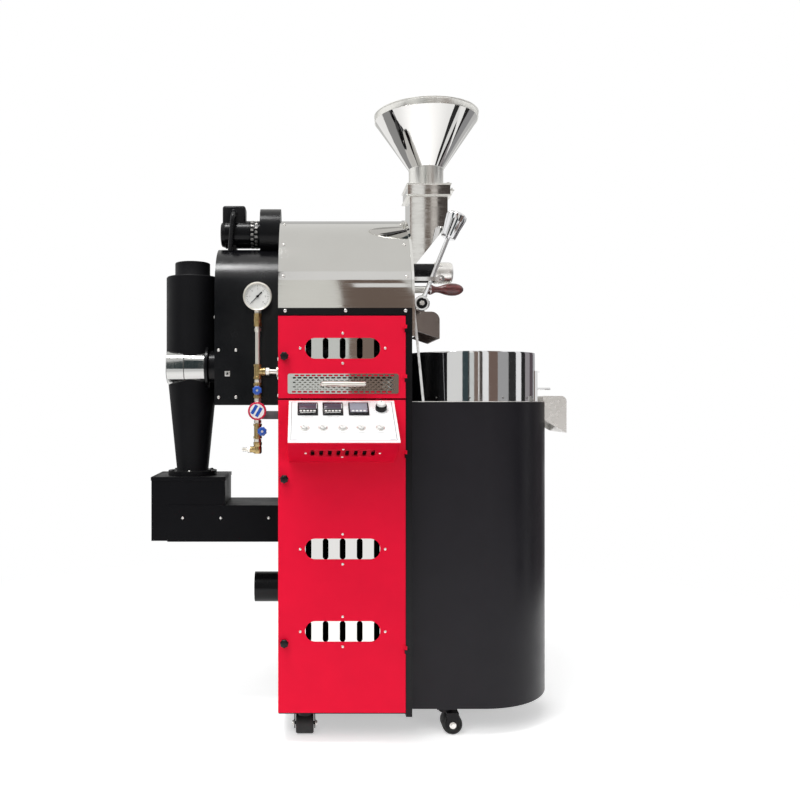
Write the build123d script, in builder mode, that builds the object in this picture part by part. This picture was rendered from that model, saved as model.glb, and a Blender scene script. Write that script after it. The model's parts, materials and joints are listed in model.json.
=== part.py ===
import os
from math import cos, hypot, radians

from build123d import *

os.makedirs("parts", exist_ok=True)

# A floor-standing drum coffee roaster on castors. Sizes are millimetres.
# The doors face -Y, the cooling bin stands on the +X side, and the floor is at zero height.

# Overall sizes that place the main groups
cabinet_width = 322
cabinet_half_depth = 250
body_bottom = 66
cabinet_height = 982
cyclone_offset = 240
chaff_box_width = 192
cooling_offset = 184
cooling_radius = 200
outlet_reach = 45
panel_reach = 137
plate_overhang = 2

# Stock and clearances shared by all pieces
sheet = 2
wall = 3
overrun = 5
clearance = 0.4
running_clearance = 0.05

deck_height = body_bottom + cabinet_height
reach_left = cyclone_offset + chaff_box_width / 2
reach_right = cooling_offset + cooling_radius + outlet_reach
cabinet_left = (reach_left - reach_right - cabinet_width) / 2
cabinet_right = cabinet_left + cabinet_width
mid_y = (panel_reach - plate_overhang) / 2
door_y = mid_y - cabinet_half_depth
back_y = mid_y + cabinet_half_depth

# Doors, post and shelf
door_depth = 18
door_gap = 2
post_width = 15
post_gap = 1
header_height = 17
upper_door_height = 198
door_split = 4
door_sill = 10
shelf_thickness = 5
header_bottom = deck_height - header_height
upper_door_top = header_bottom - door_gap
upper_door_bottom = upper_door_top - upper_door_height
lower_door_top = upper_door_bottom - door_split
lower_door_bottom = body_bottom + door_sill
body_front = door_y + door_depth + door_gap
door_right = cabinet_right - post_width - post_gap
shelf_top = (upper_door_bottom + lower_door_top) / 2

# Hinges: a fixed leaf with a pin on the post, a moving leaf on each door
hinge_height = 18
hinge_leaf_width = 10
hinge_barrel_radius = 3
hinge_pin_radius = 1.5
hinge_play = 0.3
upper_hinge_insets = [48, 31]
lower_hinge_insets = [152, 130]
upper_hinge_heights = [upper_door_bottom + upper_hinge_insets[0], upper_door_top - upper_hinge_insets[1]]
lower_hinge_heights = [lower_door_bottom + lower_hinge_insets[0], lower_door_top - lower_hinge_insets[1]]
hinge_x = door_right + post_gap / 2
hinge_y = door_y - hinge_barrel_radius - hinge_play

# Vents in the doors
vent_left_inset = 64.5
vent_right_inset = 76.5
vent_width = cabinet_width - vent_left_inset - vent_right_inset
vent_height = 50
vent_margin = 10
vent_slot_width = 14
vent_slot_length = 50
vent_slots = 5
vent_end = 17
vent_pitch = (vent_width - vent_end) / (vent_slots - 1)
upper_vent_rise = 120
lower_vent_rises = [195, 393]
upper_vent_height = upper_door_bottom + upper_vent_rise
lower_vent_heights = [lower_door_bottom + rise for rise in lower_vent_rises]
vent_x = cabinet_left + vent_left_inset + vent_width / 2

# Latch knobs
latch_inset = 15
latch_knob_radius = 10
latch_knob_depth = 16
latch_shaft_radius = 4
latch_cam_reach = 11
latch_cam_width = 7
upper_latch_rise = 101
middle_latch_rise = 562
lower_latch_rise = 169
upper_latch_height = upper_door_bottom + upper_latch_rise
middle_latch_height = lower_door_bottom + middle_latch_rise
lower_latch_height = lower_door_bottom + lower_latch_rise
latch_x = cabinet_left + latch_inset

# Chaff tray with a perforated front, carried by the upper door
tray_left_inset = 23
tray_front_width = 266
tray_front_rise = 11
tray_front_height = 48
tray_corner = 5
tray_lip = 10
tray_floor_gap = 6
tray_depth = 72
tray_slot_length = 10
tray_slot_width = 4
tray_slot_pitch = 13.5
tray_row_pitch = 5.6
tray_columns = 18
tray_rows = 8
tray_handle_length = 105
tray_handle_radius = 5
tray_handle_stand = 22
tray_handle_rise = 23
tray_rail = 4
tray_front_bottom = upper_door_bottom + tray_front_rise
tray_left = cabinet_left + tray_left_inset
tray_right = tray_left + tray_front_width
tray_mid = (tray_left + tray_right) / 2

# Control wedge and panel on the lower door
panel_left_inset = 26
panel_width = 252
panel_top_inset = 1
panel_drop = 94
wedge_height = 148
panel_sheet = 2
meter_size = 48
meter_stand = 5
meter_body = 44
meter_depth = 18
meter_along = 39
meter_offsets = [45, 104, 165]
dial_offset = 218
dial_along = 38
dial_radius = 13
dial_height = 15
dial_shaft_radius = 3
dial_shaft_length = 12
button_offsets = [38, 80, 125, 167, 211]
button_along = 112
button_radius = 8
button_stand = 5
button_length = 13
button_collar = 3
button_collar_height = 2
wedge_slots = 8
wedge_slot_width = 9
wedge_slot_height = 42
wedge_slot_pitch = 20
panel_top = lower_door_top - panel_top_inset
wedge_bottom = panel_top - wedge_height
panel_left = cabinet_left + panel_left_inset
panel_mid = panel_left + panel_width / 2
panel_length = hypot(panel_reach, panel_drop)
panel_normal = (0, -panel_drop / panel_length, panel_reach / panel_length)
panel_plane = Plane(origin=(panel_mid, door_y, panel_top), x_dir=(1, 0, 0), z_dir=panel_normal)

# Drum, its cover, casing and bearings
drum_rise = 92
drum_radius = 135
drum_rear_inset = 26
drum_front_inset = 10
drum_shaft_radius = 12
drum_hub_radius = 24
drum_hub_length = 16
drum_spider_share = 0.5
spoke_width = 20
spokes = 3
flights = 4
flight_height = 10
cover_radius = 250
cover_skirt = 8
casing_gap = 10
casing_drop = 48
casing_rear_inset = 9
shaft_hole_clearance = 2
bearing_radius = 26
bearing_length = 18
plate_thickness = 6
plate_drop_below = 68
drum_height = deck_height + drum_rise
casing_bottom = deck_height - casing_drop
plate_bottom = deck_height - plate_drop_below
casing_radius = drum_radius + casing_gap
plate_face = cabinet_right + plate_thickness
cover_spring = deck_height + cover_skirt

# Rear cover, drum motor
rear_length = 166
rear_half_width = 135
rear_spring_rise = 49
rear_drop = 234
gearbox_length = 60
gearbox_half_width = 44
gearbox_standoff = 24
gearbox_depth = 52
bracket_thickness = 10
motor_radius = 40
motor_length = 70
rear_spring = deck_height + rear_spring_rise
rear_bottom = deck_height - rear_drop
rear_left = cabinet_left - rear_length
gearbox_right = cabinet_left - gearbox_standoff
gearbox_left = gearbox_right - gearbox_length

# Exhaust fan above the rear cover
fan_rise = 227
fan_radius = 68
fan_width = 55
fan_eye_radius = 22
fan_wheel_radius = 56
fan_blades = 8
fan_blade_thickness = 2
fan_motor_radius = 37
fan_motor_length = 107
fan_shaft_radius = 5
fan_box_length = 62
fan_box_width = 52
fan_box_height = 80
fan_box_inset = 5
fan_foot_length = 22
fan_foot_width = 40
fan_foot_inset = 20
fan_lead_radius = 6.5
fan_lead_inset = 31
fan_lead_slant = 8
fan_lead_side = 49
fan_lead_drop = 28
fan_lead_bend = 20
fan_height = deck_height + fan_rise
fan_box_top = fan_height + fan_box_height
fan_left = cabinet_left - fan_width
fan_motor_left = fan_left - fan_motor_length

# Cyclone, chaff box and its arm
cyclone_radius = 70
cyclone_rise = 110
cyclone_length = 238
cyclone_cone_length = 282
cyclone_throat_radius = 42
collar_radius = 47
collar_length = 44
cyclone_flange_radius = 65
cyclone_flange = 12
inlet_radius = 44
inlet_drop = 136
inlet_side = 36
inlet_wrap = 8
inlet_flange = 6
inlet_flange_radius = 52
chaff_box_depth = 170
chaff_box_height = 166
arm_height = 93
arm_inset = 42
arm_sheet = 2
cyclone_top = deck_height + cyclone_rise
cyclone_cone_top = cyclone_top - cyclone_length
cyclone_bottom = cyclone_cone_top - cyclone_cone_length
collar_top = cyclone_top + collar_length
inlet_height = deck_height - inlet_drop
chaff_box_top = cyclone_bottom - cyclone_flange
chaff_box_bottom = chaff_box_top - chaff_box_height
arm_top = chaff_box_bottom + arm_height
cyclone_x = cabinet_left - cyclone_offset

# Hopper, gate and feed chute
hopper_offset = 64.5
hopper_radius = 138
hopper_cone_height = 150
hopper_band = 17
hopper_neck_radius = 46
hopper_neck_length = 50
chute_half = 50
chute_plate_rise = 102
chute_plate_height = 94
chute_fall = 143
chute_top_fall = 18
chute_head = 107
frame_half = 56
frame_height = 31
frame_bore_radius = 42
gate_thickness = 3
gate_half_width = 46
gate_tab = 14
gate_tab_stand = 12
gate_rear_inset = 6
feed_port_lift = 20
hopper_x = plate_face + hopper_offset
chute_plate_bottom = deck_height + chute_plate_rise
chute_plate_top = chute_plate_bottom + chute_plate_height
chute_bend_bottom = chute_plate_bottom + chute_fall
chute_bend_top = chute_plate_top + chute_top_fall
chute_top = chute_bend_top + chute_head
frame_top = chute_top + frame_height
hopper_neck_top = frame_top + hopper_neck_length
hopper_top = hopper_neck_top + hopper_cone_height
feed_port_bottom = chute_plate_bottom + feed_port_lift
gate_middle = (chute_top + frame_top) / 2

# Sight glass and tryer on the front plate
sight_side = 80
sight_rise = 18
sight_radius = 25
sight_length = 120
sight_bezel_radius = 28
sight_bezel_length = 46
tryer_side = 105
tryer_drop = 28
tryer_radius = 9
tryer_reach_in = 110
tryer_collar = 56
tryer_boss_radius = 15
tryer_boss_length = 18
tryer_scoop_length = 90
tryer_handle_length = 90
tryer_handle_radius = 16
sight_height = drum_height + sight_rise
tryer_height = drum_height - tryer_drop

# Discharge door, lever and hood
hood_half_width = 100
hood_reach = 85
hood_rise = 8
hood_plate_depth = 42
hood_front_depth = 70
hood_corner = 22
port_half_width = 60
port_rise = 4
port_height = 44
door_margin = 5
door_thickness = 4
discharge_gap = 1
pivot_offset = 32
pivot_rise = 16
pivot_radius = 6
pivot_ear_radius = 14
lever_side = 140
lever_hub_radius = 20
lever_hub_length = 16
lever_length = 213
lever_lean = 22
lever_rod_radius = 5.5
lever_knob_length = 62
lever_knob_radius = 24
lever_knob_root_share = 2 / 3
arm_side = 40
arm_width = 5
guide_side = 155
guide_rise = 60
guide_reach = 78
guide_width = 10
guide_thickness = 4
guide_eye_radius = 10
guide_hole_radius = 4
stay_rise = 37
stay_lean = 25
stay_width = 6
hood_top = deck_height + hood_rise
hood_plate_bottom = hood_top - hood_plate_depth
hood_front_bottom = hood_top - hood_front_depth
port_top = deck_height + port_rise
port_bottom = port_top - port_height
pivot_height = hood_top + pivot_rise
guide_height = pivot_height + guide_rise
stay_top = deck_height + stay_rise
pivot_x = plate_face + pivot_offset
hood_top_start = pivot_x + pivot_ear_radius

# Cooling bin
cooling_drop = 226
ring_radius = 176
ring_height = 127
ring_sheet = 3
ledge_rise = 7
ledge_width = 14
screen_thickness = 2
screen_hole_radius = 3
screen_hole_pitch = 15
bridge_half_width = 32
plenum_radius = 160
gate_half_angle_width = 58
gate_opening_half = 50
cool_gate_height = 82
cool_gate_sheet = 2.5
cool_rail = 8
cool_rail_lip = 3
cool_handle_radius = 3
cool_handle_length = 44
cool_handle_rise = 36
cool_tab = 12
outlet_half_width = 70
outlet_rise = 16
outlet_wall_depth = 62
outlet_end_depth = 97
outlet_corner = 14
stir_shaft_radius = 10
stir_motor_half = 38
stir_motor_height = 110
stir_hub_radius = 22
stir_hub_rise = 93
stir_lift = 4
stir_reach = 154
stir_arms = 3
stir_arm_height = 26
stir_arm_thickness = 6
cooling_top = deck_height - cooling_drop
ring_top = cooling_top + ring_height
ledge_height = cooling_top + ledge_rise
cool_gate_top = cooling_top + cool_gate_height
cool_handle_height = cooling_top + cool_handle_rise
outlet_top = cooling_top + outlet_rise
outlet_wall_bottom = outlet_top - outlet_wall_depth
outlet_end_bottom = outlet_top - outlet_end_depth
stir_hub_top = cooling_top + stir_hub_rise
cooling_x = cabinet_right + cooling_offset
ring_inner = ring_radius - ring_sheet
screen_bottom = ledge_height + wall
screen_top = screen_bottom + screen_thickness

# Cooling blower in the cabinet, blowing out through the left wall
blower_rise = 256
outlet_pipe_radius = 40
outlet_pipe_reach = 71
pipe_shoulder = 1
blower_radius = 95
suction_radius = 50
blower_left_inset = 86
blower_length = 120
blower_taper = 30
blower_motor_radius = 38
blower_motor_length = 58
blower_wheel_radius = 84
blower_wheel_length = 22
blower_shaft_radius = 6
blower_blades = 7
strut_width = 8
struts = 3
blower_height = body_bottom + blower_rise

# Burner
burner_inset = 46
burner_end_inset = 36
burner_length = cabinet_width - burner_inset - burner_end_inset
burner_tube_radius = 12
burner_spacing = 50
burner_drop = 93
manifold_width = 20
manifold_half_length = 70
manifold_half_height = 10
burner_leg_half = 65
burner_leg_share = 0.9
burner_height = deck_height - burner_drop

# Gas train on the left side
gas_offset = 51
gas_side = 215
gas_pipe_radius = 6
gas_nut_radius = 10
gauge_rise = 31
gauge_radius = 35
gauge_depth = 26
gauge_rim = 3
gauge_recess = 7
needle_length = 44
needle_width = 3
needle_thickness = 1
needle_pin_radius = 1.5
needle_pin_length = 4
cock_drop = 10
cock_length = 32
tee_drop = 152
tee_half = 18
upper_valve_drop = 198
lower_valve_drop = 297
lower_valve_shift = 12
valve_boss_radius = 8
valve_boss_length = 15
valve_wheel_radius = 12
valve_wheel_depth = 8
valve_wheel_stand = 5
valve_stem_radius = 3
regulator_drop = 248
regulator_radius = 20
regulator_depth = 30
regulator_knob_radius = 22.5
regulator_knob_depth = 14
regulator_stem_radius = 4
regulator_block = 20
elbow_drop = 342
elbow_nut_share = 0.75
barb_length = 38
barb_radius = 5
gauge_height = deck_height + gauge_rise
cock_top = deck_height - cock_drop
cock_bottom = cock_top - cock_length
tee_height = deck_height - tee_drop
upper_valve_height = deck_height - upper_valve_drop
lower_valve_height = deck_height - lower_valve_drop
regulator_height = deck_height - regulator_drop
elbow_height = deck_height - elbow_drop
gas_x = cabinet_left - gas_offset
gas_y = mid_y - gas_side

# Castors
castor_inset = 64
castor_reach = 93
castor_cabinet_side = 195
castor_cooling_side = 173
castor_headings = [90, 0, 0, 90]
wheel_radius = 25
wheel_width = 44
axle_radius = 4
castor_trail = 14
castor_plate = 50
castor_plate_thickness = 3
fork_sheet = 2.5
fork_gap = 1.5
fork_length = 30
swivel_radius = 17
swivel_pin_radius = 5
crown_clearance = 2.5
castor_x = [cabinet_left + castor_inset, cabinet_right + castor_reach]
castor_places = [
    (castor_x[0], mid_y - castor_cabinet_side),
    (castor_x[1], mid_y - castor_cooling_side),
    (castor_x[0], mid_y + castor_cabinet_side),
    (castor_x[1], mid_y + castor_cooling_side),
]
plate_under = body_bottom - castor_plate_thickness


def block(x0, x1, y0, y1, z0, z1, mode=Mode.ADD):
    with Locations(((x0 + x1) / 2, (y0 + y1) / 2, (z0 + z1) / 2)):
        Box(x1 - x0, y1 - y0, z1 - z0, mode=mode)


def rod_x(x0, x1, y, z, radius, mode=Mode.ADD):
    with Locations(Location(((x0 + x1) / 2, y, z), (0, 90, 0))):
        Cylinder(radius, x1 - x0, mode=mode)


def rod_y(y0, y1, x, z, radius, mode=Mode.ADD):
    with Locations(Location((x, (y0 + y1) / 2, z), (90, 0, 0))):
        Cylinder(radius, y1 - y0, mode=mode)


def rod_z(z0, z1, x, y, radius, mode=Mode.ADD):
    with Locations((x, y, (z0 + z1) / 2)):
        Cylinder(radius, z1 - z0, mode=mode)


def prism_y(points, y0, y1, mode=Mode.ADD):
    with BuildSketch(Plane.XZ.offset(-y0)) as outline:
        with BuildLine():
            Polyline(*points, close=True)
        make_face()
    extrude(outline.sketch, amount=y0 - y1, mode=mode)


def prism_x(points, x0, x1, mode=Mode.ADD):
    with BuildSketch(Plane.YZ.offset(x0)) as outline:
        with BuildLine():
            Polyline(*points, close=True)
        make_face()
    extrude(outline.sketch, amount=x1 - x0, mode=mode)


def arch_x(half_width, spring, base, x0, x1, mode=Mode.ADD):
    with BuildSketch(Plane.YZ.offset(x0)) as outline:
        with BuildLine():
            left, right = mid_y - half_width, mid_y + half_width
            Polyline((left, spring), (left, base), (right, base), (right, spring))
            ThreePointArc((right, spring), (mid_y, spring + half_width), (left, spring))
        make_face()
    extrude(outline.sketch, amount=x1 - x0, mode=mode)


def turned_z(points, x, y, mode=Mode.ADD):
    axis_plane = Plane(origin=(x, y, 0), x_dir=(1, 0, 0), z_dir=(0, -1, 0))
    with BuildSketch(axis_plane) as outline:
        with BuildLine():
            Polyline(*points, close=True)
        make_face()
    revolve(outline.sketch, axis=Axis((x, y, 0), (0, 0, 1)), mode=mode)


def turned_x(points, y, z, mode=Mode.ADD):
    axis_plane = Plane(origin=(0, y, z), x_dir=(1, 0, 0), z_dir=(0, -1, 0))
    with BuildSketch(axis_plane) as outline:
        with BuildLine():
            Polyline(*points, close=True)
        make_face()
    revolve(outline.sketch, axis=Axis((0, y, z), (1, 0, 0)), mode=mode)


def keep(piece, name):
    piece.part.label = name
    export_step(piece.part, f"parts/{name}.step")


# Cabinet frame: sheet body with two compartments, a hinge post, a header and castor plates
duct_radius = outlet_pipe_radius - pipe_shoulder
blower_hole_radius = duct_radius + clearance
with BuildPart() as cabinet_frame:
    block(cabinet_left, cabinet_right, body_front, back_y, body_bottom, deck_height)
    inner_left, inner_right = cabinet_left + wall, cabinet_right - wall
    inner_front, inner_back = body_front - overrun, back_y - wall
    shelf_bottom = shelf_top - shelf_thickness
    block(inner_left, inner_right, inner_front, inner_back, shelf_top, deck_height - wall, Mode.SUBTRACT)
    block(inner_left, inner_right, inner_front, inner_back, body_bottom + wall, shelf_bottom, Mode.SUBTRACT)
    block(cabinet_right - post_width, cabinet_right, door_y, body_front, body_bottom, deck_height)
    block(cabinet_left, cabinet_right, door_y, body_front, header_bottom, deck_height)
    casing_rear = cabinet_left + casing_rear_inset
    casing_half = casing_radius + wall
    block(casing_rear, inner_right, mid_y - casing_half, mid_y + casing_half,
          deck_height - wall - overrun, deck_height + overrun, Mode.SUBTRACT)
    block(inner_right - overrun, cabinet_right + overrun, mid_y - port_half_width, mid_y + port_half_width,
          port_bottom, deck_height + overrun, Mode.SUBTRACT)
    rod_x(cabinet_left - overrun, inner_left + overrun, mid_y, blower_height, blower_hole_radius,
          Mode.SUBTRACT)
    rod_x(inner_right - overrun, cabinet_right + overrun, mid_y, blower_height,
          suction_radius + clearance, Mode.SUBTRACT)
    for hinge_height_mid in upper_hinge_heights + lower_hinge_heights:
        bottom = hinge_height_mid - hinge_height / 2
        top = hinge_height_mid + hinge_height / 2
        block(hinge_x, hinge_x + hinge_leaf_width, door_y - sheet, door_y, bottom, hinge_height_mid)
        rod_z(bottom, hinge_height_mid, hinge_x, hinge_y, hinge_barrel_radius)
        rod_z(bottom, top, hinge_x, hinge_y, hinge_pin_radius)
    for x, y in castor_places:
        if x < cabinet_right:
            block(x - castor_plate / 2, x + castor_plate / 2, y - castor_plate / 2, y + castor_plate / 2,
                  plate_under, body_bottom)
            rod_z(plate_under, body_bottom + wall, x, y, swivel_pin_radius + running_clearance,
                  Mode.SUBTRACT)
keep(cabinet_frame, "cabinet_frame")


# Doors: folded sheet pans with a moving hinge leaf, vent windows and latch holes
def door_pan(bottom, top, hinge_heights, vent_heights, latch_heights):
    block(cabinet_left, door_right, door_y, door_y + door_depth, bottom, top)
    block(cabinet_left + sheet, door_right - sheet, door_y + sheet, door_y + door_depth + overrun,
          bottom + sheet, top - sheet, Mode.SUBTRACT)
    for height in hinge_heights:
        low, high = height + hinge_play, height + hinge_height / 2
        block(hinge_x - hinge_leaf_width, hinge_x, door_y - sheet, door_y, low, high)
        rod_z(low, high, hinge_x, hinge_y, hinge_barrel_radius)
        rod_z(low - overrun, high + overrun, hinge_x, hinge_y, hinge_pin_radius + running_clearance,
              Mode.SUBTRACT)
    for height in vent_heights:
        with BuildSketch(Plane.XZ.offset(-door_y)) as window:
            with Locations((vent_x, height)):
                SlotOverall(vent_width, vent_height)
        extrude(window.sketch, amount=overrun, both=True, mode=Mode.SUBTRACT)
    for height in latch_heights:
        rod_y(door_y - overrun, door_y + overrun, latch_x, height, latch_shaft_radius + running_clearance,
              Mode.SUBTRACT)


def vent_plate(height):
    half_width, half_height = vent_width / 2 + vent_margin, vent_height / 2 + vent_margin
    block(vent_x - half_width, vent_x + half_width, door_y + sheet, door_y + sheet + sheet,
          height - half_height, height + half_height)
    with BuildSketch(Plane.XZ.offset(-door_y)) as slots:
        with Locations((vent_x, height)):
            with GridLocations(vent_pitch, vent_height, vent_slots, 1):
                SlotOverall(vent_slot_length, vent_slot_width, rotation=90)
    extrude(slots.sketch, amount=-(sheet + sheet + overrun), mode=Mode.SUBTRACT)


tray_window_left, tray_window_right = tray_left + tray_lip, tray_right - tray_lip
tray_window_bottom = tray_front_bottom + tray_floor_gap
tray_window_top = tray_front_bottom + tray_front_height - tray_floor_gap
tray_back = door_y + tray_depth
with BuildPart() as upper_door:
    door_pan(upper_door_bottom, upper_door_top, upper_hinge_heights, [upper_vent_height],
             [upper_latch_height])
    block(tray_window_left, tray_window_right, door_y - overrun, door_y + overrun,
          tray_window_bottom, tray_window_top, Mode.SUBTRACT)
    for rail_left in (tray_window_left - tray_rail, tray_window_right):
        block(rail_left, rail_left + tray_rail, door_y + sheet, tray_back,
              tray_window_bottom - tray_rail, tray_window_top)
    block(tray_window_left - tray_rail, tray_window_right + tray_rail, door_y + sheet, tray_back,
          tray_window_bottom - tray_rail, tray_window_bottom)
keep(upper_door, "upper_door")

with BuildPart() as upper_vent:
    vent_plate(upper_vent_height)
keep(upper_vent, "upper_vent")

# Chaff tray: shallow open pan, perforated front plate and a bar handle
pan_left, pan_right = tray_window_left + clearance, tray_window_right - clearance
pan_bottom, pan_top = tray_window_bottom + clearance, tray_window_top - clearance
tray_face = door_y - clearance - sheet
with BuildPart() as chaff_tray:
    with BuildSketch(Plane.XZ.offset(clearance - door_y)) as front:
        with Locations((tray_mid, tray_front_bottom + tray_front_height / 2)):
            RectangleRounded(tray_front_width, tray_front_height, tray_corner)
    extrude(front.sketch, amount=sheet)
    block(pan_left, pan_right, tray_face + sheet, tray_back - clearance, pan_bottom, pan_top)
    block(pan_left + sheet, pan_right - sheet, tray_face + sheet, tray_back - clearance - sheet,
          pan_bottom + sheet, pan_top + overrun, Mode.SUBTRACT)
    with BuildSketch(Plane.XZ.offset(-tray_face)) as holes:
        with Locations((tray_mid, tray_front_bottom + tray_front_height / 2)):
            for row in range(tray_rows):
                row_height = (row - (tray_rows - 1) / 2) * tray_row_pitch
                row_shift = (row % 2 - 1 / 2) * tray_slot_pitch / 2
                with Locations((row_shift, row_height)):
                    with GridLocations(tray_slot_pitch, tray_row_pitch, tray_columns, 1):
                        SlotOverall(tray_slot_length, tray_slot_width)
    extrude(holes.sketch, amount=-(sheet + clearance / 2), mode=Mode.SUBTRACT)
    handle_height = tray_front_bottom + tray_handle_rise
    handle_y = tray_face - tray_handle_stand
    handle_left, handle_right = tray_mid - tray_handle_length / 2, tray_mid + tray_handle_length / 2
    rod_x(handle_left, handle_right, handle_y, handle_height, tray_handle_radius)
    for post_x in (handle_left + 2 * tray_handle_radius, handle_right - 2 * tray_handle_radius):
        rod_y(handle_y, tray_face + sheet, post_x, handle_height, tray_handle_radius)
keep(chaff_tray, "chaff_tray")

# Lower door with the sloped control wedge, vent windows and two latch holes
slope = panel_drop / panel_reach
plate_drop = panel_sheet * panel_length / panel_reach
wedge_slope = (panel_top - panel_drop - wedge_bottom) / panel_reach
wedge_lift = sheet * hypot(1, wedge_slope)
lip_y = door_y - panel_reach
panel_right = panel_left + panel_width
lip_height = panel_top - panel_drop
with BuildPart() as lower_door:
    door_pan(lower_door_bottom, lower_door_top, lower_hinge_heights, lower_vent_heights,
             [middle_latch_height, lower_latch_height])
    prism_x([(door_y, panel_top - plate_drop), (lip_y, lip_height - plate_drop), (door_y, wedge_bottom)],
            panel_left, panel_right)
    prism_x([(lip_y, lip_height - plate_drop + wedge_lift), (door_y, wedge_bottom + wedge_lift),
             (door_y, panel_top + overrun), (lip_y, panel_top + overrun)],
            panel_left + sheet, panel_right - sheet, Mode.SUBTRACT)
    with BuildSketch(Plane.XY.offset(wedge_bottom - overrun)) as wedge_vents:
        with Locations((panel_mid, door_y - panel_reach / 2)):
            with GridLocations(wedge_slot_pitch, wedge_slot_height, wedge_slots, 1):
                SlotOverall(wedge_slot_height, wedge_slot_width, rotation=90)
    extrude(wedge_vents.sketch, amount=lip_height - wedge_bottom, mode=Mode.SUBTRACT)
keep(lower_door, "lower_door")

with BuildPart() as lower_vents:
    for vent_level in lower_vent_heights:
        vent_plate(vent_level)
keep(lower_vents, "lower_vents")


def panel_place(offset, along, lift=0):
    return panel_plane.from_local_coords(Vector(offset - panel_width / 2, -along, lift))


def panel_rod(offset, along, low, high, radius, mode=Mode.ADD):
    centre = panel_place(offset, along, (low + high) / 2)
    with Locations(Plane(origin=centre, x_dir=(1, 0, 0), z_dir=panel_normal)):
        Cylinder(radius, high - low, mode=mode)


def panel_block(offset, along, width, length, low, high, mode=Mode.ADD):
    centre = panel_place(offset, along, (low + high) / 2)
    with Locations(Plane(origin=centre, x_dir=(1, 0, 0), z_dir=panel_normal)):
        Box(width, length, high - low, mode=mode)


# Control panel: white plate with three meters, button collars, and holes for the dial and buttons
with BuildPart() as control_panel:
    edge_inset = panel_sheet * slope
    panel_block(panel_width / 2, (panel_length + edge_inset) / 2, panel_width, panel_length - edge_inset,
                -panel_sheet, 0)
    for meter_offset in meter_offsets:
        panel_block(meter_offset, meter_along, meter_size, meter_size, 0, meter_stand)
        panel_block(meter_offset, meter_along, meter_body, meter_body, -meter_depth, 0)
    for button_offset in button_offsets:
        panel_rod(button_offset, button_along, 0, button_collar_height, button_radius + button_collar)
        panel_rod(button_offset, button_along, -overrun, overrun, button_radius + running_clearance,
                  Mode.SUBTRACT)
    panel_rod(dial_offset, dial_along, -overrun, overrun, dial_shaft_radius + running_clearance,
              Mode.SUBTRACT)
keep(control_panel, "control_panel")

with BuildPart() as dial_knob:
    panel_rod(dial_offset, dial_along, clearance, dial_height, dial_radius)
    panel_rod(dial_offset, dial_along, -dial_shaft_length, clearance, dial_shaft_radius)
keep(dial_knob, "dial_knob")

for number, button_offset in enumerate(button_offsets, 1):
    with BuildPart() as button:
        panel_rod(button_offset, button_along, button_stand - button_length, button_stand, button_radius)
    keep(button, f"button_{number}")

# Latch knobs: lobed knob, shaft through the door skin and a cam behind it
for name, height in (("upper_latch", upper_latch_height), ("middle_latch", middle_latch_height),
                     ("lower_latch", lower_latch_height)):
    with BuildPart() as latch:
        rod_y(door_y - clearance - latch_knob_depth, door_y - clearance, latch_x, height, latch_knob_radius)
        rod_y(door_y - clearance, door_y + door_depth / 2 + sheet, latch_x, height, latch_shaft_radius)
        block(latch_x - latch_cam_width / 2, latch_x + latch_cam_width / 2,
              door_y + door_depth / 2, door_y + door_depth / 2 + sheet, height, height + latch_cam_reach)
    keep(latch, name)

# Drum cover: polished half cylinder with a closed rear end
with BuildPart() as drum_cover:
    arch_x(cover_radius, cover_spring, deck_height, cabinet_left, cabinet_right)
    arch_x(cover_radius - sheet, cover_spring, deck_height - overrun, cabinet_left + sheet,
           cabinet_right + overrun, Mode.SUBTRACT)
    rod_x(cabinet_left - overrun, cabinet_left + overrun, mid_y, drum_height,
          drum_shaft_radius + shaft_hole_clearance, Mode.SUBTRACT)
    rod_x(cabinet_left - overrun, cabinet_left + overrun, mid_y, fan_height, fan_eye_radius, Mode.SUBTRACT)
keep(drum_cover, "drum_cover")

# Drum casing: inner heat shell, open below towards the burner
with BuildPart() as drum_casing:
    arch_x(casing_half, drum_height, casing_bottom, casing_rear, inner_right)
    arch_x(casing_radius, drum_height, casing_bottom - overrun, casing_rear + wall, inner_right + overrun,
           Mode.SUBTRACT)
    rod_x(casing_rear - overrun, casing_rear + wall + overrun, mid_y, drum_height,
          drum_shaft_radius + shaft_hole_clearance, Mode.SUBTRACT)
keep(drum_casing, "drum_casing")

# Front plate with the feed port, discharge port, sight hole and tryer boss
sight_y = mid_y - sight_side
tryer_y = mid_y - tryer_side
with BuildPart() as front_plate:
    arch_x(cover_radius + plate_overhang, cover_spring, plate_bottom, cabinet_right, plate_face)
    port_start, port_end = cabinet_right - overrun, plate_face + overrun
    block(port_start, port_end, mid_y - chute_half + wall, mid_y + chute_half - wall,
          feed_port_bottom, chute_plate_top - wall, Mode.SUBTRACT)
    block(port_start, port_end, mid_y - port_half_width, mid_y + port_half_width, port_bottom, port_top,
          Mode.SUBTRACT)
    rod_x(port_start, port_end, sight_y, sight_height, sight_radius - wall, Mode.SUBTRACT)
    rod_x(plate_face, plate_face + tryer_boss_length, tryer_y, tryer_height, tryer_boss_radius)
    rod_x(port_start, port_end + tryer_boss_length, tryer_y, tryer_height, tryer_radius + running_clearance,
          Mode.SUBTRACT)
keep(front_plate, "front_plate")

# Shaft bearings: one behind the front plate, one outside the cover's rear end
with BuildPart() as shaft_bearings:
    for bearing_left in (cabinet_right - bearing_length, cabinet_left - bearing_length):
        rod_x(bearing_left, bearing_left + bearing_length, mid_y, drum_height, bearing_radius)
        rod_x(bearing_left - overrun, bearing_left + bearing_length + overrun, mid_y, drum_height,
              drum_shaft_radius + running_clearance, Mode.SUBTRACT)
keep(shaft_bearings, "shaft_bearings")

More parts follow.
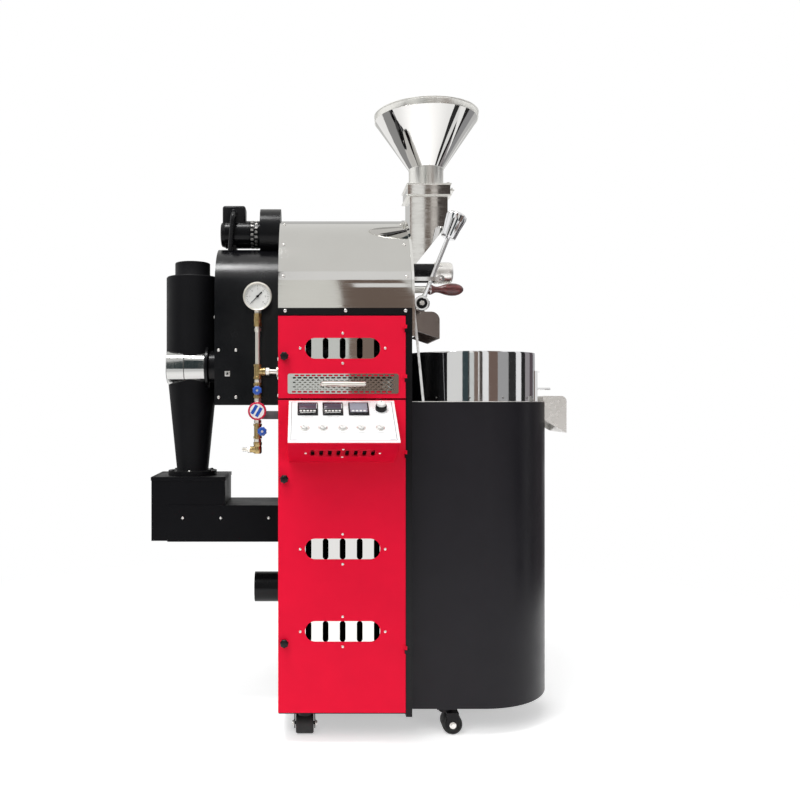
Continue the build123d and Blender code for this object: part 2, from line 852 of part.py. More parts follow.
# Drum: shell open at the front, closed rear wall, shaft, spider and lifting flights
drum_left = cabinet_left + drum_rear_inset
drum_right = cabinet_right - drum_front_inset
drum_length = drum_right - drum_left
with BuildPart() as drum:
    rod_x(drum_left, drum_right, mid_y, drum_height, drum_radius)
    rod_x(drum_left + wall, drum_right + overrun, mid_y, drum_height, drum_radius - wall, Mode.SUBTRACT)
    rod_x(gearbox_right - gearbox_depth, cabinet_right - sheet, mid_y, drum_height, drum_shaft_radius)
    spider_x = drum_left + drum_spider_share * drum_length
    rod_x(drum_left, drum_left + drum_hub_length, mid_y, drum_height, drum_hub_radius)
    rod_x(spider_x - drum_hub_length / 2, spider_x + drum_hub_length / 2, mid_y, drum_height,
          drum_hub_radius)
    spoke_length = drum_radius - wall / 2
    for spoke in range(spokes):
        with Locations(Location((spider_x, mid_y, drum_height), (360 * spoke / spokes, 0, 0))):
            with Locations((0, spoke_length / 2, 0)):
                Box(2 * wall, spoke_length, spoke_width)
    flight_root = drum_radius - wall / 2
    for flight in range(flights):
        turn = 360 * flight / flights
        with Locations(Location(((drum_left + drum_right) / 2, mid_y, drum_height), (turn, 0, 0))):
            with Locations((0, flight_root - flight_height / 2, 0)):
                Box(drum_length - drum_hub_length, flight_height, sheet)
keep(drum, "drum")

# Burner: three tubes on a manifold, two legs on the shelf and a feed pipe from the left wall
burner_left = cabinet_left + burner_inset
with BuildPart() as burner:
    block(burner_left - manifold_width, burner_left, mid_y - manifold_half_length,
          mid_y + manifold_half_length,
          burner_height - manifold_half_height, burner_height + manifold_half_height)
    for tube_y in (mid_y - burner_spacing, mid_y, mid_y + burner_spacing):
        rod_x(burner_left, burner_left + burner_length, tube_y, burner_height, burner_tube_radius)
    for leg_x in (burner_left + wall, burner_left + burner_leg_share * burner_length):
        block(leg_x, leg_x + wall, mid_y - burner_leg_half, mid_y + burner_leg_half, shelf_top,
              burner_height)
    feed_x = burner_left - manifold_width / 2
    rod_x(inner_left, feed_x, gas_y, tee_height, gas_pipe_radius)
    rod_y(gas_y - gas_pipe_radius, mid_y - burner_spacing, feed_x, tee_height, gas_pipe_radius)
    rod_z(tee_height - gas_pipe_radius, burner_height, feed_x, mid_y - burner_spacing, gas_pipe_radius)
keep(burner, "burner")

# Rear cover: black arch with room for the fan housing and the cyclone inlet
inlet_y = mid_y - inlet_side
with BuildPart() as rear_cover:
    arch_x(rear_half_width, rear_spring, rear_bottom, rear_left, cabinet_left)
    arch_x(rear_half_width - sheet, rear_spring, rear_bottom + sheet, rear_left + sheet,
           cabinet_left + overrun,
           Mode.SUBTRACT)
    rod_x(fan_left - clearance, cabinet_left + overrun, mid_y, fan_height, fan_radius + clearance,
          Mode.SUBTRACT)
    rod_x(rear_left - overrun, rear_left + overrun, inlet_y, inlet_height, inlet_radius - wall,
          Mode.SUBTRACT)
keep(rear_cover, "rear_cover")

# Drum motor: gearbox on a bracket, with a bore that takes the drum shaft
with BuildPart() as drum_motor:
    block(gearbox_left, gearbox_right, mid_y - gearbox_half_width, mid_y + gearbox_half_width,
          drum_height - gearbox_half_width, drum_height + gearbox_half_width)
    rod_x(gearbox_left - motor_length, gearbox_left, mid_y, drum_height, motor_radius)
    bracket_top = drum_height - gearbox_half_width
    block(gearbox_left, cabinet_left, mid_y - gearbox_half_width, mid_y + gearbox_half_width,
          bracket_top - bracket_thickness, bracket_top)
    rod_x(gearbox_right - gearbox_depth - sheet, gearbox_right + overrun, mid_y, drum_height,
          drum_shaft_radius + running_clearance, Mode.SUBTRACT)
keep(drum_motor, "drum_motor")

# Exhaust fan: round housing against the cover's rear end, motor with its short lead, and wheel
with BuildPart() as fan_housing:
    rod_x(fan_left, cabinet_left, mid_y, fan_height, fan_radius)
    rod_x(fan_left + wall, cabinet_left - wall, mid_y, fan_height, fan_radius - wall, Mode.SUBTRACT)
    rod_x(cabinet_left - 2 * wall, cabinet_left + overrun, mid_y, fan_height, fan_eye_radius, Mode.SUBTRACT)
    rod_x(fan_left - overrun, fan_left + overrun, mid_y, fan_height,
          fan_shaft_radius + shaft_hole_clearance,
          Mode.SUBTRACT)
    block(fan_left + 2 * wall, cabinet_left - 2 * wall, mid_y - fan_eye_radius, mid_y + fan_eye_radius,
          fan_height - fan_radius - overrun, fan_height - fan_radius + 3 * wall, Mode.SUBTRACT)
keep(fan_housing, "fan_housing")

fan_wheel_left = fan_left + 2 * wall
fan_wheel_right = cabinet_left - 2 * wall
fan_bore_depth = fan_motor_radius
with BuildPart() as fan_motor:
    rod_x(fan_motor_left, fan_left, mid_y, fan_height, fan_motor_radius)
    box_left = fan_motor_left + fan_box_inset
    block(box_left, box_left + fan_box_length, mid_y - fan_box_width / 2, mid_y + fan_box_width / 2,
          fan_height, fan_box_top)
    foot_left = fan_motor_left + fan_foot_inset
    block(foot_left, foot_left + fan_foot_length, mid_y - fan_foot_width / 2, mid_y + fan_foot_width / 2,
          rear_spring, fan_height)
    lead_x, lead_y = box_left + fan_lead_inset, mid_y - fan_lead_side
    lead_top = fan_box_top - fan_lead_drop
    with BuildLine():
        FilletPolyline((lead_x, mid_y, lead_top), (lead_x, lead_y, lead_top),
                       (lead_x - fan_lead_slant, lead_y, rear_spring), radius=fan_lead_bend)
    with BuildSketch(Plane(origin=(lead_x, mid_y, lead_top), z_dir=(0, -1, 0))):
        Circle(fan_lead_radius)
    sweep()
    arch_x(rear_half_width, rear_spring, rear_bottom, rear_left, cabinet_left, Mode.SUBTRACT)
    rod_x(fan_left - fan_bore_depth, fan_left + overrun, mid_y, fan_height,
          fan_shaft_radius + running_clearance,
          Mode.SUBTRACT)
keep(fan_motor, "fan_motor")

with BuildPart() as fan_impeller:
    rod_x(fan_left - fan_bore_depth + sheet, fan_wheel_left + wall, mid_y, fan_height, fan_shaft_radius)
    rod_x(fan_wheel_left, fan_wheel_left + wall, mid_y, fan_height, fan_wheel_radius)
    for blade in range(fan_blades):
        with Locations(Location((fan_wheel_left, mid_y, fan_height), (360 * blade / fan_blades, 0, 0))):
            with Locations(((fan_wheel_right - fan_wheel_left) / 2,
                            (fan_wheel_radius + fan_eye_radius) / 2, 0)):
                Box(fan_wheel_right - fan_wheel_left, fan_wheel_radius - fan_eye_radius,
                    fan_blade_thickness)
keep(fan_impeller, "fan_impeller")

# Cyclone: cylinder and cone with an outlet collar, a tangential inlet and a bottom flange
body_inner = cyclone_radius - wall
throat_inner = cyclone_throat_radius - wall
collar_inner = collar_radius - wall
cyclone_ceiling = cyclone_top - wall
with BuildPart() as cyclone:
    turned_z([(collar_radius, collar_top), (collar_radius, cyclone_top), (cyclone_radius, cyclone_top),
              (cyclone_radius, cyclone_cone_top), (cyclone_throat_radius, cyclone_bottom),
              (cyclone_flange_radius, cyclone_bottom), (cyclone_flange_radius, chaff_box_top),
              (throat_inner, chaff_box_top), (throat_inner, cyclone_bottom), (body_inner, cyclone_cone_top),
              (body_inner, cyclone_ceiling), (collar_inner, cyclone_ceiling), (collar_inner, collar_top)],
             cyclone_x, mid_y)
    wrap_radius = cyclone_radius + inlet_wrap
    with BuildSketch(Plane.XY.offset(inlet_height - inlet_radius)) as wrap:
        with Locations((cyclone_x, mid_y)):
            Circle(wrap_radius)
        with Locations((cyclone_x - wrap_radius, mid_y - wrap_radius)):
            Rectangle(2 * wrap_radius, 2 * wrap_radius, mode=Mode.INTERSECT)
    extrude(amount=2 * inlet_radius)
    rod_x(cyclone_x, rear_left, inlet_y, inlet_height, inlet_radius)
    rod_x(rear_left - inlet_flange, rear_left, inlet_y, inlet_height, inlet_flange_radius)
    turned_z([(0, cyclone_bottom), (throat_inner, cyclone_bottom), (body_inner, cyclone_cone_top),
              (body_inner, cyclone_ceiling), (0, cyclone_ceiling)], cyclone_x, mid_y, Mode.SUBTRACT)
    rod_x(cyclone_x, rear_left + overrun, inlet_y, inlet_height, inlet_radius - wall, Mode.SUBTRACT)
keep(cyclone, "cyclone")

# Chaff box under the cyclone, and the arm that cradles it
box_left, box_right = cyclone_x - chaff_box_width / 2, cyclone_x + chaff_box_width / 2
box_front, box_back = mid_y - chaff_box_depth / 2, mid_y + chaff_box_depth / 2
with BuildPart() as chaff_box:
    block(box_left, box_right, box_front, box_back, chaff_box_bottom, chaff_box_top)
    block(box_left + sheet, box_right - sheet, box_front + sheet, box_back - sheet,
          chaff_box_bottom + sheet, chaff_box_top - sheet, Mode.SUBTRACT)
    rod_z(chaff_box_top - overrun, chaff_box_top + overrun, cyclone_x, mid_y, throat_inner, Mode.SUBTRACT)
keep(chaff_box, "chaff_box")

arm_left = box_left + arm_inset
with BuildPart() as chaff_arm:
    block(arm_left, cabinet_left, box_front - arm_sheet, box_front, chaff_box_bottom, arm_top)
    block(arm_left, cabinet_left, box_back, box_back + arm_sheet, chaff_box_bottom, arm_top)
    block(arm_left, cabinet_left, box_front - arm_sheet, box_back + arm_sheet,
          chaff_box_bottom - arm_sheet, chaff_box_bottom)
    block(box_right, cabinet_left, box_front - arm_sheet, box_back + arm_sheet, arm_top - arm_sheet,
          arm_top)
keep(chaff_arm, "chaff_arm")

# Hopper, feed chute with the gate frame, and the slide gate
with BuildPart() as hopper:
    turned_z([(hopper_neck_radius, frame_top), (hopper_neck_radius, hopper_neck_top),
              (hopper_radius, hopper_top - hopper_band), (hopper_radius, hopper_top),
              (hopper_radius - sheet, hopper_top), (hopper_radius - sheet, hopper_top - hopper_band),
              (hopper_neck_radius - sheet, hopper_neck_top), (hopper_neck_radius - sheet, frame_top)],
             hopper_x, mid_y)
keep(hopper, "hopper")

chute_left, chute_right = hopper_x - chute_half, hopper_x + chute_half
under_slope = (chute_bend_bottom - chute_plate_bottom) / (chute_right - plate_face)
upper_slope = (chute_bend_top - chute_plate_top) / (chute_left - plate_face)
under_lift = sheet * hypot(1, under_slope)
upper_lift = sheet * hypot(1, upper_slope)
gate_low, gate_high = gate_middle - gate_thickness / 2, gate_middle + gate_thickness / 2
gate_start = hopper_x - frame_half + gate_rear_inset
with BuildPart() as feed_chute:
    prism_y([(plate_face, chute_plate_bottom), (chute_right, chute_bend_bottom), (chute_right, chute_top),
             (chute_left, chute_top), (chute_left, chute_bend_top), (plate_face, chute_plate_top)],
            mid_y - chute_half, mid_y + chute_half)
    prism_y([(plate_face - overrun, chute_plate_bottom + under_lift - overrun * under_slope),
             (chute_right - sheet, chute_bend_bottom + under_lift - sheet * under_slope),
             (chute_right - sheet, chute_top + overrun), (chute_left + sheet, chute_top + overrun),
             (chute_left + sheet, chute_bend_top - upper_lift + sheet * upper_slope),
             (plate_face - overrun, chute_plate_top - upper_lift - overrun * upper_slope)],
            mid_y - chute_half + sheet, mid_y + chute_half - sheet, Mode.SUBTRACT)
    block(hopper_x - frame_half, hopper_x + frame_half, mid_y - frame_half, mid_y + frame_half,
          chute_top, frame_top)
    rod_z(chute_top - overrun, frame_top + overrun, hopper_x, mid_y, frame_bore_radius, Mode.SUBTRACT)
    block(gate_start, hopper_x + frame_half + overrun, mid_y - gate_half_width - clearance,
          mid_y + gate_half_width + clearance, gate_low - clearance, gate_high + clearance, Mode.SUBTRACT)
keep(feed_chute, "feed_chute")

gate_end = hopper_x + frame_half + gate_tab_stand
with BuildPart() as hopper_gate:
    block(gate_start + clearance, gate_end, mid_y - gate_half_width, mid_y + gate_half_width, gate_low,
          gate_high)
    block(gate_end - gate_thickness, gate_end, mid_y - gate_half_width / 2, mid_y + gate_half_width / 2,
          gate_low, gate_low + gate_tab)
keep(hopper_gate, "hopper_gate")

# Sight glass: tube with a bezel at its end
with BuildPart() as sight_glass:
    rod_x(plate_face, plate_face + sight_length, sight_y, sight_height, sight_radius)
    rod_x(plate_face + sight_length - sight_bezel_length, plate_face + sight_length, sight_y, sight_height,
          sight_bezel_radius)
    rod_x(plate_face - overrun, plate_face + sight_length - wall, sight_y, sight_height,
          sight_radius - wall,
          Mode.SUBTRACT)
keep(sight_glass, "sight_glass")

# Tryer: a scoop tube through the front plate with a turned wooden handle
tryer_tip = plate_face - tryer_reach_in
tryer_end = plate_face + tryer_collar
with BuildPart() as tryer_tube:
    rod_x(tryer_tip, tryer_end, tryer_y, tryer_height, tryer_radius)
    scoop_left = tryer_tip + wall
    rod_x(scoop_left, scoop_left + tryer_scoop_length, tryer_y, tryer_height, tryer_radius - sheet,
          Mode.SUBTRACT)
    block(scoop_left, scoop_left + tryer_scoop_length, tryer_y - tryer_radius, tryer_y + tryer_radius,
          tryer_height, tryer_height + tryer_radius + overrun, Mode.SUBTRACT)
keep(tryer_tube, "tryer_tube")

handle_shares = [(0, 0.82), (0.09, 0.82), (0.2, 0.56), (0.5, 0.78), (0.75, 1), (0.92, 0.86), (1, 0.4)]
with BuildPart() as tryer_handle:
    turned_x([(tryer_end, 0)]
             + [(tryer_end + along * tryer_handle_length, out * tryer_handle_radius) for along,
                out in handle_shares]
             + [(tryer_end + tryer_handle_length, 0)], tryer_y, tryer_height)
keep(tryer_handle, "tryer_handle")


def hood_prism(left, right, top, left_bottom, right_bottom, corner, y0, y1, mode=Mode.ADD):
    bend = corner * (1 - cos(radians(45)))
    with BuildSketch(Plane.XZ.offset(-y0)) as outline:
        with BuildLine():
            Polyline((right - corner, top), (left, top), (left, left_bottom), (right, right_bottom),
                     (right, top - corner))
            ThreePointArc((right, top - corner), (right - bend, top - bend), (right - corner, top))
        make_face()
    extrude(outline.sketch, amount=y0 - y1, mode=mode)


# Discharge hood with pivot ears, the lever's guide bar and the slim stay
hood_right = plate_face + hood_reach
hood_front, hood_back = mid_y - hood_half_width, mid_y + hood_half_width
guide_y = mid_y - guide_side
with BuildPart() as discharge_hood:
    hood_prism(plate_face, hood_right, hood_top, hood_plate_bottom, hood_front_bottom, hood_corner,
               hood_front, hood_back)
    hood_prism(plate_face - overrun, hood_right - sheet, hood_top - sheet, hood_plate_bottom - 2 * overrun,
               hood_front_bottom - 2 * overrun, hood_corner - sheet, hood_front + sheet, hood_back - sheet,
               Mode.SUBTRACT)
    block(plate_face - overrun, hood_top_start, mid_y - port_half_width - 2 * door_margin,
          mid_y + port_half_width + 2 * door_margin, hood_top - overrun, hood_top + overrun, Mode.SUBTRACT)
    for ear_y in (hood_front, hood_back - wall):
        rod_y(ear_y, ear_y + wall, pivot_x, pivot_height, pivot_ear_radius)
        block(pivot_x - pivot_ear_radius, pivot_x + pivot_ear_radius, ear_y, ear_y + wall,
              hood_top - overrun, pivot_height)
    rod_y(hood_front - overrun, hood_back + overrun, pivot_x, pivot_height,
          pivot_radius + running_clearance,
          Mode.SUBTRACT)
    guide_end = plate_face + guide_reach
    block(plate_face, guide_end, guide_y - guide_thickness / 2, guide_y + guide_thickness / 2,
          guide_height - guide_width / 2, guide_height + guide_width / 2)
    rod_y(guide_y - guide_thickness / 2, guide_y + guide_thickness / 2, guide_end, guide_height,
          guide_eye_radius)
    rod_y(guide_y - overrun, guide_y + overrun, guide_end, guide_height, guide_hole_radius, Mode.SUBTRACT)
    stay_knee = stay_top - 2 * stay_width
    prism_y([(plate_face, stay_top), (plate_face + stay_width, stay_top), (plate_face + stay_width,
                                                                           stay_knee),
             (plate_face + stay_lean + stay_width, cooling_top), (plate_face + stay_lean, cooling_top),
             (plate_face, stay_knee)], mid_y - cooling_radius, mid_y - cooling_radius + wall)
keep(discharge_hood, "discharge_hood")

# Discharge door: port plate, two arms, pivot shaft, lever rod and knob
lever_y = mid_y - lever_side
door_back = plate_face + discharge_gap
door_face = door_back + door_thickness
with BuildPart() as discharge_door:
    block(door_back, door_face, mid_y - port_half_width - door_margin,
          mid_y + port_half_width + door_margin,
          port_bottom - door_margin, port_top + door_margin)
    for arm_y in (mid_y - arm_side, mid_y + arm_side):
        prism_y([(door_face, (port_bottom + port_top) / 2), (door_face, port_top),
                 (pivot_x - pivot_radius, pivot_height + pivot_radius),
                 (pivot_x + pivot_radius, pivot_height - pivot_radius)],
                arm_y - arm_width / 2, arm_y + arm_width / 2)
    rod_y(lever_y - lever_hub_length / 2, hood_back + wall, pivot_x, pivot_height, pivot_radius)
    rod_y(lever_y - lever_hub_length / 2, lever_y + lever_hub_length / 2, pivot_x, pivot_height,
          lever_hub_radius)
    with Locations(Location((pivot_x, lever_y, pivot_height), (0, lever_lean, 0))):
        with Locations((0, 0, lever_length / 2)):
            Cylinder(lever_rod_radius, lever_length)
        with Locations((0, 0, lever_length)):
            Cone(lever_knob_root_share * lever_knob_radius, lever_knob_radius, lever_knob_length)
keep(discharge_door, "discharge_door")


# Cooling bin: U-shaped body, ring, screen, stirrer, lift gate and outlet chute
def u_plan(height, radius, left, amount, mode=Mode.ADD):
    with BuildSketch(Plane.XY.offset(height)) as plan:
        with Locations((cooling_x, mid_y)):
            Circle(radius)
        with Locations(((left + cooling_x) / 2, mid_y)):
            Rectangle(cooling_x - left, 2 * radius)
        with Locations((left - radius, mid_y)):
            Rectangle(2 * radius, 4 * radius, mode=Mode.SUBTRACT)
    extrude(plan.sketch, amount=amount, mode=mode)


with BuildPart() as cooling_body:
    u_plan(body_bottom, cooling_radius, cabinet_right, cooling_top - body_bottom)
    u_plan(body_bottom + wall, cooling_radius - wall, cabinet_right + wall,
           cooling_top - body_bottom - 2 * wall, Mode.SUBTRACT)
    with BuildSketch(Plane.XY.offset(cooling_top - wall - overrun)) as plenum:
        with Locations((cooling_x, mid_y)):
            Circle(plenum_radius)
            Rectangle(2 * plenum_radius, 2 * bridge_half_width, mode=Mode.SUBTRACT)
    extrude(amount=wall + 2 * overrun, mode=Mode.SUBTRACT)
    rod_z(cooling_top - wall - overrun, cooling_top + overrun, cooling_x, mid_y,
          stir_shaft_radius + shaft_hole_clearance, Mode.SUBTRACT)
    rod_x(cabinet_right - overrun, cabinet_right + overrun, mid_y, blower_height, suction_radius,
          Mode.SUBTRACT)
    for x, y in castor_places:
        if x > cabinet_right:
            block(x - castor_plate / 2, x + castor_plate / 2, y - castor_plate / 2, y + castor_plate / 2,
                  plate_under, body_bottom)
            rod_z(plate_under, body_bottom + wall, x, y, swivel_pin_radius + running_clearance,
                  Mode.SUBTRACT)
keep(cooling_body, "cooling_body")


def ring_sector(inner, outer, y0, y1, z0, z1, mode=Mode.ADD):
    with BuildSketch(Plane.XY.offset(z0)) as sector:
        with Locations((cooling_x, mid_y)):
            Circle(outer)
            Circle(inner, mode=Mode.SUBTRACT)
        with Locations((cooling_x + outer / 2, mid_y + (y0 + y1) / 2)):
            Rectangle(outer, y1 - y0, mode=Mode.INTERSECT)
    extrude(sector.sketch, amount=z1 - z0, mode=mode)


gate_inner = ring_radius + clearance
gate_outer = gate_inner + cool_gate_sheet
rail_inner = gate_outer + clearance
rail_outer = rail_inner + cool_rail_lip
with BuildPart() as cooling_ring:
    turned_z([(ring_inner, cooling_top), (ring_radius, cooling_top), (ring_radius, ring_top),
              (ring_inner, ring_top)], cooling_x, mid_y)
    turned_z([(ring_inner - ledge_width, ledge_height), (ring_inner + sheet, ledge_height),
              (ring_inner + sheet, screen_bottom), (ring_inner - ledge_width, screen_bottom)], cooling_x,
              mid_y)
    block(cooling_x + ring_inner - 2 * cool_rail, cooling_x + rail_outer, mid_y - gate_opening_half,
          mid_y + gate_opening_half, screen_top, cool_gate_top - cool_rail, Mode.SUBTRACT)
    for low, high in ((-gate_half_angle_width - cool_rail, -gate_half_angle_width),
                      (gate_half_angle_width, gate_half_angle_width + cool_rail)):
        ring_sector(ring_inner, rail_outer, low, high, cooling_top, cool_gate_top)
        overlap = cool_rail if low < 0 else -cool_rail
        ring_sector(rail_inner, rail_outer, min(low, low + overlap), max(high, high + overlap),
                    cooling_top, cool_gate_top)
keep(cooling_ring, "cooling_ring")

with BuildPart() as cooling_screen:
    with BuildSketch(Plane.XY.offset(screen_bottom)) as mesh:
        with Locations((cooling_x, mid_y)):
            Circle(ring_inner - clearance)
            Circle(stir_shaft_radius + shaft_hole_clearance, mode=Mode.SUBTRACT)
            for circle in range(2, int((ring_inner - ledge_width) / screen_hole_pitch)):
                hole_ring = circle * screen_hole_pitch
                with PolarLocations(hole_ring, 6 * circle):
                    Circle(screen_hole_radius, mode=Mode.SUBTRACT)
    extrude(amount=screen_thickness)
keep(cooling_screen, "cooling_screen")

stir_depth = 2 * stir_hub_radius
motor_top = cooling_top - wall
with BuildPart() as stir_motor:
    block(cooling_x - stir_motor_half, cooling_x + stir_motor_half, mid_y - stir_motor_half,
          mid_y + stir_motor_half, motor_top - stir_motor_height, motor_top)
    rod_z(motor_top - stir_depth, motor_top + overrun, cooling_x, mid_y,
          stir_shaft_radius + running_clearance,
          Mode.SUBTRACT)
keep(stir_motor, "stir_motor")

stir_low = screen_top + stir_lift
with BuildPart() as stirrer:
    rod_z(motor_top - stir_depth + sheet, stir_hub_top, cooling_x, mid_y, stir_shaft_radius)
    rod_z(stir_low, stir_hub_top, cooling_x, mid_y, stir_hub_radius)
    for stir_arm in range(stir_arms):
        with Locations(Location((cooling_x, mid_y, stir_low), (0, 0, 360 * stir_arm / stir_arms))):
            with Locations((stir_reach / 2, 0, stir_arm_height / 2)):
                Box(stir_reach, stir_arm_thickness, stir_arm_height)
keep(stirrer, "stirrer")

with BuildPart() as cooling_gate:
    gate_side = gate_half_angle_width - clearance
    ring_sector(gate_inner, gate_outer, -gate_side, gate_side, cooling_top + sheet, cool_gate_top)
    rod_x(cooling_x + gate_inner + sheet, cooling_x + gate_outer + cool_handle_length, mid_y,
          cool_handle_height,
          cool_handle_radius)
    block(cooling_x + gate_inner + sheet, cooling_x + gate_outer + cool_tab, mid_y - cool_tab,
          mid_y + cool_tab,
          cool_gate_top - sheet, cool_gate_top)
keep(cooling_gate, "cooling_gate")

outlet_right = cooling_x + cooling_radius + outlet_reach
outlet_left = cooling_x + rail_outer + clearance
outlet_front, outlet_back = mid_y - outlet_half_width, mid_y + outlet_half_width
with BuildPart() as cooling_chute:
    hood_prism(outlet_left, outlet_right, outlet_top, outlet_wall_bottom, outlet_end_bottom, outlet_corner,
               outlet_front, outlet_back)
    hood_prism(outlet_left - overrun, outlet_right - sheet, outlet_top + overrun,
               outlet_wall_bottom - 2 * overrun, outlet_end_bottom - 2 * overrun, outlet_corner - sheet,
               outlet_front + sheet, outlet_back - sheet, Mode.SUBTRACT)
    rod_z(body_bottom, cooling_top, cooling_x, mid_y, cooling_radius, Mode.SUBTRACT)
keep(cooling_chute, "cooling_chute")

# Cooling blower: inline duct fan with its motor on struts, from the bin to the left wall
pipe_end = cabinet_left - outlet_pipe_reach
taper_left = cabinet_left + blower_left_inset
shell_right = taper_left + blower_length
blower_motor_left = taper_left + strut_width
wheel_left = blower_motor_left + blower_motor_length + strut_width
with BuildPart() as blower_housing:
    outer_line = [(pipe_end, outlet_pipe_radius), (cabinet_left, outlet_pipe_radius),
                  (cabinet_left, duct_radius), (taper_left - blower_taper, duct_radius),
                  (taper_left, blower_radius), (shell_right, blower_radius),
                  (shell_right + blower_taper, suction_radius), (cabinet_right, suction_radius)]
    inner_line = [(taper_left - blower_taper, duct_radius - wall), (taper_left, blower_radius - wall),
                  (shell_right, blower_radius - wall), (shell_right + blower_taper, suction_radius - wall),
                  (cabinet_right, suction_radius - wall)]
    turned_x(outer_line + inner_line[::-1] + [(pipe_end, duct_radius - wall)], mid_y, blower_height)
    rod_x(blower_motor_left, blower_motor_left + blower_motor_length, mid_y, blower_height,
          blower_motor_radius)
    for strut in range(struts):
        place = Location((blower_motor_left + strut_width, mid_y, blower_height), (360 * strut / struts,
                                                                                   0, 0))
        with Locations(place):
            with Locations((0, (blower_radius - wall / 2) / 2, 0)):
                Box(strut_width, blower_radius - wall / 2, strut_width)
    motor_face = blower_motor_left + blower_motor_length
    rod_x(motor_face - 2 * strut_width, motor_face + overrun, mid_y, blower_height,
          blower_shaft_radius + running_clearance, Mode.SUBTRACT)
keep(blower_housing, "blower_housing")

with BuildPart() as blower_impeller:
    rod_x(motor_face - 2 * strut_width + sheet, wheel_left + blower_wheel_length, mid_y, blower_height,
          blower_shaft_radius)
    rod_x(wheel_left, wheel_left + blower_wheel_length, mid_y, blower_height, blower_motor_radius)
    for blade in range(blower_blades):
        with Locations(Location((wheel_left + blower_wheel_length / 2, mid_y, blower_height),
                                (360 * blade / blower_blades, 0, 0))):
            with Locations(Location((0, blower_wheel_radius / 2, 0), (0, 45, 0))):
                Box(blower_wheel_length, blower_wheel_radius, sheet)
keep(blower_impeller, "blower_impeller")

# Gas train: pipe with gauge, cock, tee, valves, regulator, elbow and hose barb
gauge_front = gas_y - gauge_depth / 2
dial_face = gauge_front + gauge_recess
lower_valve_x = gas_x + lower_valve_shift
regulator_front = gas_y - regulator_depth / 2
with BuildPart() as gas_train:
    rod_z(elbow_height, gauge_height, gas_x, gas_y, gas_pipe_radius)
    rod_y(gauge_front, gas_y + gauge_depth / 2, gas_x, gauge_height, gauge_radius)
    rod_y(gauge_front - overrun, dial_face, gas_x, gauge_height, gauge_radius - gauge_rim, Mode.SUBTRACT)
    rod_y(dial_face - overrun, dial_face + needle_pin_length, gas_x, gauge_height,
          needle_pin_radius + running_clearance, Mode.SUBTRACT)
    rod_z(cock_bottom, cock_top, gas_x, gas_y, gas_nut_radius)
    rod_z(tee_height - tee_half, tee_height + tee_half, gas_x, gas_y, gas_nut_radius)
    rod_x(gas_x, cabinet_left, gas_y, tee_height, gas_pipe_radius)
    rod_x(gas_x, gas_x + tee_half, gas_y, tee_height, gas_nut_radius)
    for valve_x, height in ((gas_x, upper_valve_height), (lower_valve_x, lower_valve_height)):
        rod_z(height - tee_half, height + tee_half, gas_x, gas_y, gas_nut_radius)
        rod_y(gas_y - valve_boss_length, gas_y, valve_x, height, valve_boss_radius)
        rod_y(gas_y - valve_boss_length - overrun, gas_y, valve_x, height,
              valve_stem_radius + running_clearance,
              Mode.SUBTRACT)
    rod_y(regulator_front, gas_y + regulator_depth / 2, gas_x, regulator_height, regulator_radius)
    rod_y(regulator_front - overrun, gas_y, gas_x, regulator_height,
          regulator_stem_radius + running_clearance,
          Mode.SUBTRACT)
    block(gas_x + regulator_radius / 2, cabinet_left, gas_y, gas_y + regulator_block,
          regulator_height - regulator_block, regulator_height)
    rod_z(elbow_height - gas_nut_radius, elbow_height + tee_half, gas_x, gas_y, gas_nut_radius)
    rod_x(gas_x - tee_half, gas_x, gas_y, elbow_height, elbow_nut_share * gas_nut_radius)
    rod_x(gas_x - barb_length, gas_x, gas_y, elbow_height, barb_radius)
keep(gas_train, "gas_train")

with BuildPart() as gauge_needle:
    rod_y(dial_face - sheet, dial_face + needle_pin_length - sheet / 2, gas_x, gauge_height,
          needle_pin_radius)
    needle_y = dial_face - sheet - needle_thickness / 2
    with Locations(Location((gas_x, needle_y, gauge_height), (0, 45, 0))):
        Box(needle_width, needle_thickness, needle_length)
keep(gauge_needle, "gauge_needle")

for name, valve_x, height in (("valve_upper", gas_x, upper_valve_height),
                              ("valve_lower", lower_valve_x, lower_valve_height)):
    with BuildPart() as valve:
        boss_front = gas_y - valve_boss_length
        wheel_back = boss_front - valve_wheel_stand
        rod_y(wheel_back - valve_wheel_depth, wheel_back, valve_x, height, valve_wheel_radius)
        rod_y(wheel_back, gas_y - sheet, valve_x, height, valve_stem_radius)
    keep(valve, name)

with BuildPart() as regulator_knob:
    knob_back = regulator_front - clearance
    rod_y(knob_back - regulator_knob_depth, knob_back, gas_x, regulator_height, regulator_knob_radius)
    rod_y(knob_back, gas_y - sheet, gas_x, regulator_height, regulator_stem_radius)
keep(regulator_knob, "regulator_knob")

